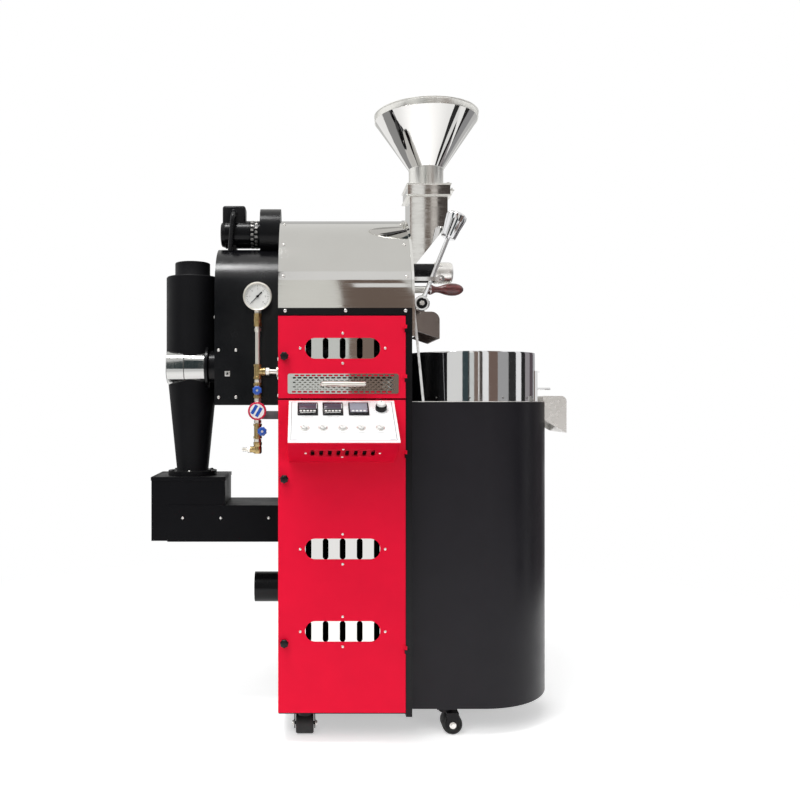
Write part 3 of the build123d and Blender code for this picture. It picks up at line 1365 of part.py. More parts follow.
# Castors: swivelling forks and wheels
fork_top = plate_under - clearance
fork_half = wheel_width / 2 + fork_gap + fork_sheet
crown_bottom = 2 * wheel_radius + crown_clearance
for number, ((x, y), heading) in enumerate(zip(castor_places, castor_headings), 1):
    swivel = Location((x, y, 0), (0, 0, heading))
    axle = Location((castor_trail, 0, wheel_radius), (90, 0, 0))
    with BuildPart() as castor_fork:
        with Locations(swivel):
            rod_z(crown_bottom, fork_top, 0, 0, swivel_radius)
            rod_z(fork_top, body_bottom, 0, 0, swivel_pin_radius)
            fork_back = castor_trail + fork_length / 2
            block(castor_trail - fork_length / 2, fork_back, -fork_half, fork_half,
                  crown_bottom, crown_bottom + fork_sheet)
            for cheek in (-fork_half, fork_half - fork_sheet):
                block(castor_trail - fork_length / 2, fork_back, cheek, cheek + fork_sheet,
                      wheel_radius - 2 * axle_radius, crown_bottom)
            with Locations(axle):
                Cylinder(axle_radius, 2 * fork_half)
    keep(castor_fork, f"castor_fork_{number}")
    with BuildPart() as castor_wheel:
        with Locations(swivel):
            with Locations(axle):
                Cylinder(wheel_radius, wheel_width)
                Cylinder(axle_radius + running_clearance, wheel_width + overrun, mode=Mode.SUBTRACT)
    keep(castor_wheel, f"castor_wheel_{number}")
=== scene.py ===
import json
import math

import bpy
from mathutils import Matrix, Vector


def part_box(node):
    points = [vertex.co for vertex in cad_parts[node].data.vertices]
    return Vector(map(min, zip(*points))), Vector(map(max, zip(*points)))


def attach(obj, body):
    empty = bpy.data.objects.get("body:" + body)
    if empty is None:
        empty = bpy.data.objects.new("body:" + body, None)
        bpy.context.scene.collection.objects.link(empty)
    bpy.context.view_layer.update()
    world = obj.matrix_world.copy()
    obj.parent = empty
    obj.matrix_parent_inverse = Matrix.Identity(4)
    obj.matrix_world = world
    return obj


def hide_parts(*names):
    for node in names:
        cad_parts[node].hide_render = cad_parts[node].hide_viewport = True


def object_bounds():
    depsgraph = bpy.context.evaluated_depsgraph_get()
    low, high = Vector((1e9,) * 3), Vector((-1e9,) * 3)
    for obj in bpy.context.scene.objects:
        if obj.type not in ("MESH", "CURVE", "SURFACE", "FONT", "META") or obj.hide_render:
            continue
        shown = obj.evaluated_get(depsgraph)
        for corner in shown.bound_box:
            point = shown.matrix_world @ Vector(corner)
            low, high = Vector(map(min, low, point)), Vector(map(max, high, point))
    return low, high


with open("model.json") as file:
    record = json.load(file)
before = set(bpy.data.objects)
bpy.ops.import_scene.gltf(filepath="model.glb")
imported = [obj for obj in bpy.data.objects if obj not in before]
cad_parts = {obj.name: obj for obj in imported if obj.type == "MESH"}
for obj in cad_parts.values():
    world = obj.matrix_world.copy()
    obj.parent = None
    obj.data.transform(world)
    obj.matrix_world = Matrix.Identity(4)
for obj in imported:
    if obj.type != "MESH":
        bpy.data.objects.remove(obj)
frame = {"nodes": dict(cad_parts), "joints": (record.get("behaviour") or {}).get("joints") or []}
cadLow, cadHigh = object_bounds()
nodes = frame["nodes"]
joints = {joint["name"]: joint for joint in frame["joints"]}

# Places are in millimetres: x from the cabinet's left wall, y from the drum's middle plane, z from the floor
mm = 0.001
doorSheet = 2
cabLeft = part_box("drum_cover")[0].x
midY = (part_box("drum")[0].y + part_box("drum")[1].y) / 2
cabWidth = (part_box("drum_cover")[1].x - cabLeft) / mm
doorY = (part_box("upper_vent")[0].y - midY) / mm - doorSheet
plateFace = cabWidth + 6
origin, unmoved = Vector((0, 0, 0)), Matrix()
leftward, rightward, upward = Vector((-1, 0, 0)), Vector((1, 0, 0)), Vector((0, 0, 1))
forward, backward = Vector((0, -1, 0)), Vector((0, 1, 0))
alongAxes = {"x": rightward, "y": backward, "z": upward}
corners = ((-1, -1), (1, -1), (1, 1), (-1, 1))


def spot(x, y, z):
    return Vector((cabLeft + x * mm, midY + y * mm, z * mm))


def frontOf(nodeName):
    low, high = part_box(nodeName)
    return Vector(((low.x + high.x) / 2, low.y, (low.z + high.z) / 2))


def spun(degrees, axis="Z"):
    return Matrix.Rotation(math.radians(degrees), 4, axis)


def around(degrees):
    return math.cos(math.radians(degrees)), math.sin(math.radians(degrees))


def seatedAt(centre, direction):
    return Matrix.Translation(centre) @ Vector(direction).to_track_quat("Z", "Y").to_matrix().to_4x4()


# Modelling steps that the pieces share
def freshStart():
    if bpy.context.object is not None and bpy.context.object.mode != "OBJECT":
        bpy.ops.object.mode_set(mode="OBJECT")
    bpy.ops.object.select_all(action="DESELECT")


def pick(piece):
    freshStart()
    piece.select_set(True)
    bpy.context.view_layer.objects.active = piece


def drawLine(points):
    freshStart()
    bpy.ops.mesh.primitive_circle_add(vertices=3, radius=mm, location=(0, 0, 0))
    piece = bpy.context.object
    bpy.ops.object.mode_set(mode="EDIT")
    bpy.ops.mesh.merge(type="CENTER")  # one vertex, then drawn out point by point
    bpy.ops.transform.translate(value=points[0])
    for here, there in zip(points, points[1:]):
        bpy.ops.mesh.extrude_vertices_move(TRANSFORM_OT_translate={"value": there - here})
    bpy.ops.mesh.select_all(action="SELECT")
    return piece


def closeUp():
    bpy.ops.mesh.select_all(action="SELECT")
    bpy.ops.mesh.remove_doubles(threshold=0.01 * mm)
    bpy.ops.mesh.normals_make_consistent(inside=False)
    bpy.ops.object.mode_set(mode="OBJECT")


# Profiles are lists of pairs: how far along the axis, and the radius there
def rod(low, high, radius):
    return [(low, 0), (low, radius), (high, radius), (high, 0)]


def closed(profile):
    return profile + profile[:1]


def sleeve(low, high, inner, outer):
    return closed([(low, inner), (low, outer), (high, outer), (high, inner)])


def nut(low, high, radius):
    return [(low, 0), (low, radius - 1), (low + 1, radius), (high - 1, radius), (high, radius - 1), (high, 0)]


def turned(profile, centre=origin, axis="z", steps=48):
    along = alongAxes[axis] if isinstance(axis, str) else axis
    side = along.orthogonal().normalized()
    piece = drawLine([centre + (along * a + side * r) * mm for a, r in profile])
    bpy.ops.mesh.spin(steps=steps, angle=2 * math.pi, center=centre, axis=along)
    closeUp()
    return piece


def slab(points, depth):
    piece = drawLine(points)
    bpy.ops.mesh.edge_face_add()
    bpy.ops.mesh.extrude_region_move(TRANSFORM_OT_translate={"value": depth})
    closeUp()
    return piece


def shaped(piece, kind, **settings):
    modifier = piece.modifiers.new("shaping", kind)
    for key, value in settings.items():
        setattr(modifier, key, value)
    pick(piece)
    bpy.ops.object.modifier_apply(modifier=modifier.name)
    return piece


def soften(piece, width, segments=2, angle=40):
    return shaped(piece, "BEVEL", width=width * mm, segments=segments, limit_method="ANGLE",
                  angle_limit=math.radians(angle))


def cutBy(piece, cutter):
    shaped(piece, "BOOLEAN", operation="DIFFERENCE", solver="EXACT", object=cutter)
    bpy.data.objects.remove(cutter)
    return piece


def boxed(low, high, soft=1, segments=2):
    freshStart()
    bpy.ops.mesh.primitive_cube_add(size=1, location=(low + high) / 2, scale=high - low)
    piece = bpy.context.object
    bpy.ops.object.transform_apply(location=True, rotation=True, scale=True)
    bpy.ops.object.mode_set(mode="EDIT")
    bpy.ops.mesh.select_all(action="SELECT")
    bpy.ops.mesh.bevel(offset=soft * mm, segments=segments, affect="EDGES")
    bpy.ops.object.mode_set(mode="OBJECT")
    return piece


# Ribbed and lobed knobs: a circle with every second point drawn in, then lifted ring by ring
def ribbed(count, dip, stations):
    freshStart()
    level, radius = stations[0]
    bpy.ops.mesh.primitive_circle_add(vertices=2 * count, radius=radius * mm, fill_type="NGON",
                                      location=(0, 0, level * mm))
    piece = bpy.context.object
    bpy.ops.object.transform_apply(location=True, rotation=True, scale=True)
    for index, vertex in enumerate(piece.data.vertices):
        vertex.select = index % 2 == 0
    for side in list(piece.data.edges) + list(piece.data.polygons):
        side.select = False
    bpy.ops.object.mode_set(mode="EDIT")
    bpy.ops.mesh.select_mode(type="VERT")
    bpy.ops.transform.resize(value=(1 - dip, 1 - dip, 1), center_override=(0, 0, level * mm))
    bpy.ops.mesh.select_all(action="SELECT")
    for nextLevel, nextRadius in stations[1:]:
        bpy.ops.mesh.extrude_region_move(TRANSFORM_OT_translate={"value": (0, 0, (nextLevel - level) * mm)})
        share = nextRadius / radius
        bpy.ops.transform.resize(value=(share, share, 1), center_override=(0, 0, nextLevel * mm))
        level, radius = nextLevel, nextRadius
    closeUp()
    return piece


def joined(pieces):
    freshStart()
    for piece in pieces:
        piece.select_set(True)
    bpy.context.view_layer.objects.active = pieces[0]
    bpy.ops.object.join()
    return pieces[0]


def moved(piece, matrix):
    piece.data.transform(matrix)
    return piece


def copied(template, matrix):
    twin = template.copy()
    twin.data = template.data.copy()
    bpy.context.scene.collection.objects.link(twin)
    return moved(twin, matrix)


def dressed(piece, finish):
    piece.data.materials.clear()
    piece.data.materials.append(finishes[finish])
    return piece


def lathed(profile, finish, steps=40):
    return dressed(turned(profile, steps=steps), finish)


def fitting(profile, place, axis, finish, steps=40):
    return dressed(turned(profile, spot(*place), axis, steps), finish)


def fittings(place, axis, *parts):
    return [fitting(profile, place, axis, finish, steps) for finish, steps, profile in parts]


def block(low, high, soft, segments, finish, seat=unmoved):
    return dressed(moved(boxed(Vector(low) * mm, Vector(high) * mm, soft, segments), seat), finish)


def settle(piece, name, body, stands=(), angle=38):
    piece.name = name
    piece.data.name = name
    pick(piece)
    bpy.ops.object.transform_apply(location=True, rotation=True, scale=True)
    bpy.ops.object.shade_smooth_by_angle(angle=math.radians(angle))
    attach(piece, body)
    if stands:
        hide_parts(*stands)
    return piece


# Shader nodes: each input is a constant, or the socket that feeds it
def feed(node, inputs):
    for label, value in inputs.items():
        if isinstance(value, bpy.types.NodeSocket):
            node.id_data.links.new(value, node.inputs[label])
        else:
            node.inputs[label].default_value = value
    return node


def addNode(tree, kind, inputs, **settings):
    node = tree.nodes.new("ShaderNode" + kind)
    for key, value in settings.items():
        setattr(node, key, value)
    return feed(node, inputs).outputs


def mathNode(tree, operation, *values):
    return addNode(tree, "Math", dict(enumerate(values)), operation=operation)[0]


def patternCoords(tree, stretch=(1, 1, 1)):
    coords = addNode(tree, "TexCoord", {})
    return addNode(tree, "Mapping", {"Vector": coords["Object"], "Scale": stretch})["Vector"]


# Shader groups that several finishes share
def openGroup(name, **inputs):
    group = bpy.data.node_groups.new(name, "ShaderNodeTree")
    for label, value in inputs.items():
        width = len(value) if isinstance(value, tuple) else 1
        kind = {1: "NodeSocketFloat", 3: "NodeSocketVector", 4: "NodeSocketColor"}[width]
        group.interface.new_socket(label, in_out="INPUT", socket_type=kind).default_value = value
    return group, group.nodes.new("NodeGroupInput").outputs


def closeGroup(group, **outputs):
    for label, socket in outputs.items():
        kind = "NodeSocketColor" if socket.type == "RGBA" else "NodeSocketFloat"
        group.interface.new_socket(label, in_out="OUTPUT", socket_type=kind)
    feed(group.nodes.new("NodeGroupOutput"), outputs)


def spreadOut(group, value, given):
    return addNode(group, "MapRange", {"Value": value, "From Min": 0.3, "From Max": 0.7, "To Min": given["Low"],
                                       "To Max": given["High"]})["Result"]


def makeToneDrift():
    group, given = openGroup("toneDrift", Color=(0.5, 0.5, 0.5, 1), Scale=12, Amount=0.1)
    noise = addNode(group, "TexNoise", {"Vector": patternCoords(group), "Scale": given["Scale"], "Detail": 5})
    centred = mathNode(group, "SUBTRACT", noise["Fac"], 0.5)
    value = mathNode(group, "MULTIPLY_ADD", centred, given["Amount"], 1)
    tint = addNode(group, "HueSaturation", {"Value": value, "Color": given["Color"]})
    closeGroup(group, Color=tint["Color"])


def makeHandledGloss():
    group, given = openGroup("handledGloss", Scale=9, Low=0.2, High=0.4)
    noise = addNode(group, "TexNoise", {"Vector": patternCoords(group), "Scale": given["Scale"], "Detail": 7,
                                        "Roughness": 0.6})
    closeGroup(group, Roughness=spreadOut(group, noise["Fac"], given))


def makePowderGrain():
    group, given = openGroup("powderGrain", Scale=900)
    where = {"Vector": patternCoords(group), "Scale": given["Scale"]}
    grains = addNode(group, "TexVoronoi", where, feature="SMOOTH_F1")
    ripple = addNode(group, "TexNoise", {**where, "Detail": 3})
    closeGroup(group, Height=mathNode(group, "ADD", grains["Distance"], ripple["Fac"]))


def makeBrushLines():
    group, given = openGroup("brushLines", Stretch=(20, 900, 900), Low=0.2, High=0.4)
    coords = addNode(group, "TexCoord", {})
    drawn = addNode(group, "VectorMath", {0: coords["Object"], 1: given["Stretch"]}, operation="MULTIPLY")
    noise = addNode(group, "TexNoise", {"Vector": drawn["Vector"], "Scale": 1, "Detail": 4})
    closeGroup(group, Height=noise["Fac"], Roughness=spreadOut(group, noise["Fac"], given))


def makeSettledDust():
    group, given = openGroup("settledDust", Color=(0.1, 0.1, 0.1, 1), Amount=0.1)
    geometry = addNode(group, "NewGeometry", {})
    split = addNode(group, "SeparateXYZ", {0: geometry["Normal"]})
    facingUp = addNode(group, "MapRange", {"Value": split["Z"], "From Min": 0.55, "From Max": 1})
    specks = addNode(group, "TexNoise", {"Vector": patternCoords(group), "Scale": 160, "Detail": 6})
    patch = mathNode(group, "MULTIPLY", facingUp["Result"], specks["Fac"])
    share = mathNode(group, "MULTIPLY", patch, given["Amount"])
    blend = addNode(group, "Mix", {"Factor": share, "A": given["Color"], "B": (0.45, 0.43, 0.4, 1)},
                    data_type="RGBA")
    closeGroup(group, Color=blend["Result"])


for makeGroup in (makeToneDrift, makeHandledGloss, makePowderGrain, makeBrushLines, makeSettledDust):
    makeGroup()
finishes = {}


def placeGroup(tree, name, **inputs):
    return addNode(tree, "Group", inputs, node_tree=bpy.data.node_groups[name])


def newFinish(name):
    material = finishes[name] = bpy.data.materials.new(name)
    material.use_nodes = True
    return material.node_tree, material.node_tree.nodes["Principled BSDF"]


def bumpFrom(tree, height, strength, distance):
    return addNode(tree, "Bump", {"Height": height, "Strength": strength, "Distance": distance})["Normal"]


def paintFinish(name, color, drift, low, high, grain, bump, dust, specular=0.5):
    tree, shader = newFinish(name)
    tone = placeGroup(tree, "toneDrift", Color=(*color, 1), Scale=14, Amount=drift)
    dusty = placeGroup(tree, "settledDust", Color=tone["Color"], Amount=dust)
    gloss = placeGroup(tree, "handledGloss", Scale=11, Low=low, High=high)
    powder = placeGroup(tree, "powderGrain", Scale=grain)
    feed(shader, {"Base Color": dusty["Color"], "Roughness": gloss["Roughness"], "Specular IOR Level": specular,
                  "Normal": bumpFrom(tree, powder["Height"], bump, 0.0004)})


def metalFinish(name, color, drift, low, high, stretch, bump):
    tree, shader = newFinish(name)
    tone = placeGroup(tree, "toneDrift", Color=(*color, 1), Scale=7, Amount=drift)
    lines = placeGroup(tree, "brushLines", Stretch=stretch, Low=low, High=high)
    feed(shader, {"Base Color": tone["Color"], "Roughness": lines["Roughness"], "Metallic": 1,
                  "Normal": bumpFrom(tree, lines["Height"], bump, 0.0002)})


def plasticFinish(name, color, low, high, bump=0.05, coat=0, specular=0.5):
    tree, shader = newFinish(name)
    tone = placeGroup(tree, "toneDrift", Color=(*color, 1), Scale=40, Amount=0.25)
    gloss = placeGroup(tree, "handledGloss", Scale=60, Low=low, High=high)
    powder = placeGroup(tree, "powderGrain", Scale=1500)
    feed(shader, {"Base Color": tone["Color"], "Roughness": gloss["Roughness"], "Specular IOR Level": specular,
                  "Coat Weight": coat, "Coat Roughness": 0.08,
                  "Normal": bumpFrom(tree, powder["Height"], bump, 0.0002)})


def woodFinish(name, dark, light):
    tree, shader = newFinish(name)
    where = patternCoords(tree, (14, 120, 120))
    grain = addNode(tree, "TexNoise", {"Vector": where, "Scale": 1.4, "Detail": 8, "Distortion": 0.8})["Fac"]
    shades = tree.nodes.new("ShaderNodeValToRGB")
    for step, position, color in zip(shades.color_ramp.elements, (0.32, 0.72), (dark, light)):
        step.position, step.color = position, (*color, 1)
    feed(shades, {"Fac": grain})
    gloss = placeGroup(tree, "handledGloss", Scale=50, Low=0.28, High=0.42)
    feed(shader, {"Base Color": shades.outputs["Color"], "Roughness": gloss["Roughness"], "Coat Weight": 0.6,
                  "Coat Roughness": 0.12, "Normal": bumpFrom(tree, grain, 0.08, 0.0005)})


def lensFinish(name, color):
    tree, shader = newFinish(name)
    tone = placeGroup(tree, "toneDrift", Color=(*color, 1), Scale=30, Amount=0.03)
    gloss = placeGroup(tree, "handledGloss", Scale=30, Low=0.02, High=0.06)
    feed(shader, {"Base Color": tone["Color"], "Roughness": gloss["Roughness"], "Metallic": 1})
    edge = addNode(tree, "Fresnel", {"IOR": 1.45})
    side = addNode(tree, "NewGeometry", {})
    outside = mathNode(tree, "SUBTRACT", 1, side["Backfacing"])
    coat = mathNode(tree, "MULTIPLY", edge["Fac"], outside)
    clear = addNode(tree, "BsdfTransparent", {})
    both = addNode(tree, "MixShader", {"Fac": coat, 1: clear["BSDF"], 2: shader.outputs["BSDF"]})
    feed(tree.nodes["Material Output"], {"Surface": both["Shader"]})


# colour, drift, roughness from and to, grain, bump, dust, specular level
paints = {
    "redPowder": ((0.79, 0.005, 0.036), 0.14, 0.36, 0.5, 700, 0.3, 0.02, 0.11),
    "blackSatin": ((0.004, 0.004, 0.005), 0.4, 0.18, 0.28, 800, 0.08, 0.02, 0.22),
    "blackBin": ((0.010, 0.009, 0.012), 0.35, 0.28, 0.4, 650, 0.16, 0.02, 0.22),
    "blackCrackle": ((0.005, 0.005, 0.006), 0.5, 0.4, 0.55, 420, 0.4, 0.02, 0.12),
    "blackMatt": ((0.004, 0.004, 0.005), 0.4, 0.4, 0.55, 700, 0.2, 0.02, 0.08),
    "blackArch": ((0.002, 0.002, 0.003), 0.4, 0.18, 0.28, 800, 0.06, 0, 0.42),
    "castGrey": ((0.10, 0.10, 0.105), 0.4, 0.45, 0.65, 260, 0.5, 0.2),
    "whitePanel": ((0.88, 0.88, 0.88), 0.03, 0.22, 0.32, 1200, 0.04, 0.02),
    "printGrey": ((0.20, 0.19, 0.20), 0.1, 0.4, 0.5, 1200, 0.03, 0),
    "printPink": ((0.62, 0.30, 0.34), 0.1, 0.4, 0.5, 1200, 0.03, 0),
}
# colour, drift, roughness from and to, stretch of the brush lines, bump
metals = {
    "ductSteel": ((0.50, 0.50, 0.49), 0.15, 0.07, 0.14, (200, 20, 20), 0.03),
    # the hood steel's dark brown tint is a painted reflection of the brown room in front of it
    "hoodSteelBrownReflection": ((0.36, 0.31, 0.29), 0.3, 0.12, 0.24, (60, 60, 60), 0.05),
    "mirrorSteel": ((0.78, 0.77, 0.75), 0.05, 0.02, 0.06, (30, 30, 260), 0.006),
    "polishedSteel": ((0.60, 0.59, 0.57), 0.12, 0.03, 0.08, (12, 420, 420), 0.012),
    "brushedSteel": ((0.84, 0.83, 0.79), 0.1, 0.26, 0.42, (700, 700, 14), 0.2),
    "brightChrome": ((0.82, 0.82, 0.83), 0.04, 0.03, 0.09, (60, 60, 60), 0.02),
    "millSteel": ((0.36, 0.35, 0.34), 0.25, 0.35, 0.55, (25, 300, 300), 0.2),
    "zincPlate": ((0.90, 0.88, 0.85), 0.2, 0.22, 0.4, (90, 90, 90), 0.1),
    "paleNickel": ((0.86, 0.83, 0.76), 0.12, 0.3, 0.45, (200, 200, 30), 0.08),
    "oldBrass": ((0.45, 0.33, 0.15), 0.35, 0.24, 0.42, (120, 120, 60), 0.12),
}
# colour, roughness from and to, bump, clear coat, specular level
plastics = {
    "blackPlastic": ((0.005, 0.005, 0.006), 0.2, 0.34, 0.05, 0, 0.25),
    "smokedWindow": ((0.060, 0.045, 0.072), 0.08, 0.14, 0.01, 0.5),
    "greyWindow": ((0.24, 0.25, 0.30), 0.1, 0.18, 0.01, 0.4),
    "paleKey": ((0.70, 0.70, 0.68), 0.3, 0.42),
    "bluePlastic": ((0.012, 0.08, 0.42), 0.22, 0.34, 0.04, 0.3),
    "redPlastic": ((0.55, 0.008, 0.05), 0.2, 0.32, 0.04, 0.3),
    "whitePlastic": ((0.78, 0.78, 0.76), 0.25, 0.38, 0.03),
    "hardRubber": ((0.014, 0.014, 0.014), 0.5, 0.7, 0.15),
}
for makeFinish, table in ((paintFinish, paints), (metalFinish, metals), (plasticFinish, plastics)):
    for finishName, values in table.items():
        makeFinish(finishName, *values)
woodFinish("turnedWood", (0.045, 0.008, 0.008), (0.19, 0.034, 0.032))
lensFinish("clearLens", (0.96, 0.97, 0.97))
print("finishes ready:", len(finishes))

# The solids that are shown as they are, by finish
solidFinish = {
    "blackSatin": ["cabinet_frame", "fan_housing", "blower_housing", "castor_fork_1", "castor_fork_2",
                   "castor_fork_3", "castor_fork_4"],
    "redPowder": ["upper_door", "lower_door"], "blackArch": ["rear_cover"], "blackBin": ["cooling_body"],
    # the discharge hood wears steel with a painted brown reflection
    "blackMatt": ["chaff_box", "chaff_arm"], "hoodSteelBrownReflection": ["discharge_hood"], "polishedSteel": ["drum_cover"],
    "mirrorSteel": ["upper_vent", "lower_vents", "chaff_tray", "front_plate", "feed_chute"],
    "millSteel": ["drum_casing", "drum", "fan_impeller", "blower_impeller"], "zincPlate": ["cooling_chute"],
    "castGrey": ["shaft_bearings", "burner", "drum_motor", "stir_motor"],
    "brushedSteel": ["hopper_gate", "cooling_screen", "tryer_tube"],
    "brightChrome": ["cooling_ring", "cooling_gate"],
}
for finishName, nodeNames in solidFinish.items():
    for nodeName in nodeNames:
        dressed(nodes[nodeName], finishName)
hood, guideFront = nodes["discharge_hood"], -110  # its guide bar and stay, in front of this y, are chromed
hood.data.materials.append(finishes["brightChrome"])
for face in hood.data.polygons:
    if face.center.y < spot(0, guideFront, 0).y:
        face.material_index = 1
print("solids finished:", sum(len(nodeNames) for nodeNames in solidFinish.values()))

# Small hardware: one screw and one bolt of radius 1 are modelled, then copied to each place and joined by body
screwHead = {"profile": [(0, 0), (0, 1), (0.32, 1), (0.58, 0.8), (0.72, 0.45), (0.75, 0)],
             "slots": ((0.62, 0.13), (0.13, 0.62)), "slotFloor": 0.5}
boltHead = {"profile": [(0, 0), (0, 1), (0.62, 1), (0.75, 0.86), (0.75, 0)],
            "collar": [(0, 0), (0, 1.3), (0.14, 1.3), (0.2, 1.2), (0.2, 0)]}


def modelScrew():
    screw = turned(screwHead["profile"], steps=20)
    for x, y in screwHead["slots"]:
        cutBy(screw, boxed(Vector((-x, -y, screwHead["slotFloor"])) * mm, Vector((x, y, 1)) * mm, 0.02, 1))
    return screw


def modelBolt():
    return joined([turned(boltHead["profile"], steps=6), turned(boltHead["collar"], steps=20)])


def fastened(name, template, body, finish, places):
    pieces = [copied(template, seatedAt(centre, direction) @ Matrix.Scale(radius, 4))
              for centre, direction, radius in places]
    return settle(dressed(joined(pieces), finish), name, body)


screwTemplate = modelScrew()
boltTemplate = modelBolt()
header = {"x": (17, 162, 306), "z": 1041, "screw": 4.4}
cover = {"spring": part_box("drum_cover")[1].z / mm - 250, "radius": 250, "edge": 12, "screw": 4,
         "angles": (16, 38, 62, 90, 118, 142, 164), "plateRadius": 238,
         "plateAngles": (8, 34, 60, 90, 120, 146, 172)}
rear = {"front": -135, "screwX": (-155, -111), "screwZ": (954, 834), "screw": 4.2,
        "sideScrew": (-166, -118, 1040), "sideRadius": 4.6}
chaffBox = {"screwX": (-254, -155, -30), "y": 87, "z": 520, "screw": 3.6}
back = {"y": 250, "inset": 18, "screwZ": (140, 420, 700, 980), "screw": 4.2}
flank = {"y": -228, "screwZ": (838, 880, 926), "screw": 4.2}
coolingBin = {"x": cabWidth + 184, "ring": 176, "ringTop": 949, "radius": 200, "top": 822, "screwZ": 833,
              "screw": 2.4, "screwAngles": (-128, -100, -72, -44, 44, 72, 100, 128)}


def archNormal(degrees):
    along, up = around(degrees)
    return Vector((0, -along, up))


def archPoint(x, radius, degrees):
    return spot(x, 0, cover["spring"]) + archNormal(degrees) * radius * mm


framePlaces = [(spot(x, doorY, header["z"]), forward, header["screw"]) for x in header["x"]]
for edge in (cover["edge"], cabWidth - cover["edge"]):
    for degrees in cover["angles"]:
        framePlaces.append((archPoint(edge, cover["radius"], degrees), archNormal(degrees), cover["screw"]))
for degrees in cover["plateAngles"]:
    framePlaces.append((archPoint(plateFace, cover["plateRadius"], degrees), rightward, cover["screw"]))
pairs = [(x, -rear["front"], z, rear["screw"]) for x in rear["screwX"] for z in rear["screwZ"]]
pairs += [(x, chaffBox["y"], chaffBox["z"], chaffBox["screw"]) for x in chaffBox["screwX"]]
for x, y, z, radius in pairs:
    framePlaces += [(spot(x, -y, z), forward, radius), (spot(x, y, z), backward, radius)]
for z in back["screwZ"]:
    for x in (back["inset"], cabWidth - back["inset"]):
        framePlaces.append((spot(x, back["y"], z), backward, back["screw"]))
framePlaces += [(spot(0, flank["y"], z), leftward, flank["screw"]) for z in flank["screwZ"]]
framePlaces.append((spot(*rear["sideScrew"]), leftward, rear["sideRadius"]))
fastened("screws_body", screwTemplate, "frame", "zincPlate", framePlaces)
ringPlaces = []
for degrees in coolingBin["screwAngles"]:
    outward = Vector((*around(degrees), 0))
    centre = spot(coolingBin["x"], 0, coolingBin["screwZ"]) + outward * coolingBin["ring"] * mm
    ringPlaces.append((centre, outward, coolingBin["screw"]))
fastened("screws_ring", screwTemplate, "frame", "millSteel", ringPlaces)

# Square insert in the rear cover's front
insert = {"x": -133, "z": 894, "half": 6.5, "rim": 3}


def makeRearInsert():
    x, y, z, half, inner = insert["x"], rear["front"], insert["z"], insert["half"], insert["half"] - insert["rim"]
    bezel = boxed(spot(x - half, y - 1.2, z - half), spot(x + half, y + 0.5, z + half), 0.5, 2)
    cutBy(bezel, boxed(spot(x - inner, y - 3, z - inner), spot(x + inner, y - 0.6, z + inner), 0.3, 1))
    core = fitting([(0, 0), (0, 2.6), (0.9, 2.4), (1, 0)], (x, y - 0.5, z), forward, "blackPlastic", 20)
    return joined([dressed(bezel, "zincPlate"), core])


settle(makeRearInsert(), "rear_insert", "frame")

# Vents of the doors, and the control wedge's underside with its grille and a dark sheet behind it as painted shade
vent = {"x": 155, "reach": 102, "rise": 36, "screw": 3.4, "upper_door": (951,), "lower_door": (469, 271)}
wedge = {"x": 152, "y": -318.5, "z": 703.8, "across": 86, "along": 30, "screw": 3.2, "half": 79, "rise": 24,
         "lift": 0.15, "thick": 0.6, "slots": 8, "pitch": 20, "slotHalf": 5, "slotDeep": 8, "margin": 3,
         "endMargin": 8, "shadeSheet": (88, 28, 5), "normal": Vector((0, -51.6, -137)).normalized(),
         "slope": Vector((0, 137, -51.6)).normalized()}
wedgeMiddle = spot(wedge["x"], wedge["y"], wedge["z"])


def wedgePoint(across, along, lift=0):
    return wedgeMiddle + (Vector((across, 0, 0)) + wedge["slope"] * along + wedge["normal"] * lift) * mm


for doorName in ("upper_door", "lower_door"):
    sides = ((-1, 0), (1, 0), (0, -1), (0, 1))
    places = [(spot(vent["x"] + across * vent["reach"], doorY, z + up * vent["rise"]), forward, vent["screw"])
              for z in vent[doorName] for across, up in sides]
    if doorName == "lower_door":
        places += [(wedgePoint(across * wedge["across"], up * wedge["along"]), wedge["normal"], wedge["screw"])
                   for across, up in sides]
    fastened("screws_" + doorName, screwTemplate, doorName, "zincPlate", places)
print("screws placed:", len(framePlaces))


def makeWedgeGrille():
    rise, outline = wedge["rise"], []
    for side, start in ((1, -90), (-1, 90)):
        for step in range(13):
            across, up = around(start + 15 * step)
            outline.append(wedgePoint(side * (wedge["half"] - rise) + rise * across, rise * up, wedge["lift"]))
    plate = slab(outline, wedge["normal"] * wedge["thick"] * mm)
    turn = Matrix((rightward, wedge["slope"], rightward.cross(wedge["slope"]))).transposed().to_4x4()
    half, deep, last = wedge["slotHalf"], wedge["slotDeep"], wedge["slots"] - 1
    for slot in range(wedge["slots"]):
        across = (slot - last / 2) * wedge["pitch"]
        tall = rise - (wedge["margin"] if 0 < slot < last else wedge["endMargin"])
        hole = boxed(Vector((across - half, -tall, -deep)) * mm, Vector((across + half, tall, deep)) * mm, 4.5, 3)
        cutBy(plate, moved(hole, Matrix.Translation(wedgeMiddle) @ turn))
    return dressed(plate, "mirrorSteel")


# a matt black sheet behind the slots: painted shade for the dark inside of the wedge
def makeWedgeBacking():
    wide, long, depth = wedge["shadeSheet"]
    outline = [wedgePoint(across * wide, along * long, -depth) for across, along in corners]
    return dressed(slab(outline, wedge["normal"] * -1 * mm), "blackMatt")


settle(makeWedgeGrille(), "wedge_grille", "lower_door")
settle(makeWedgeBacking(), "wedge_backing", "lower_door")

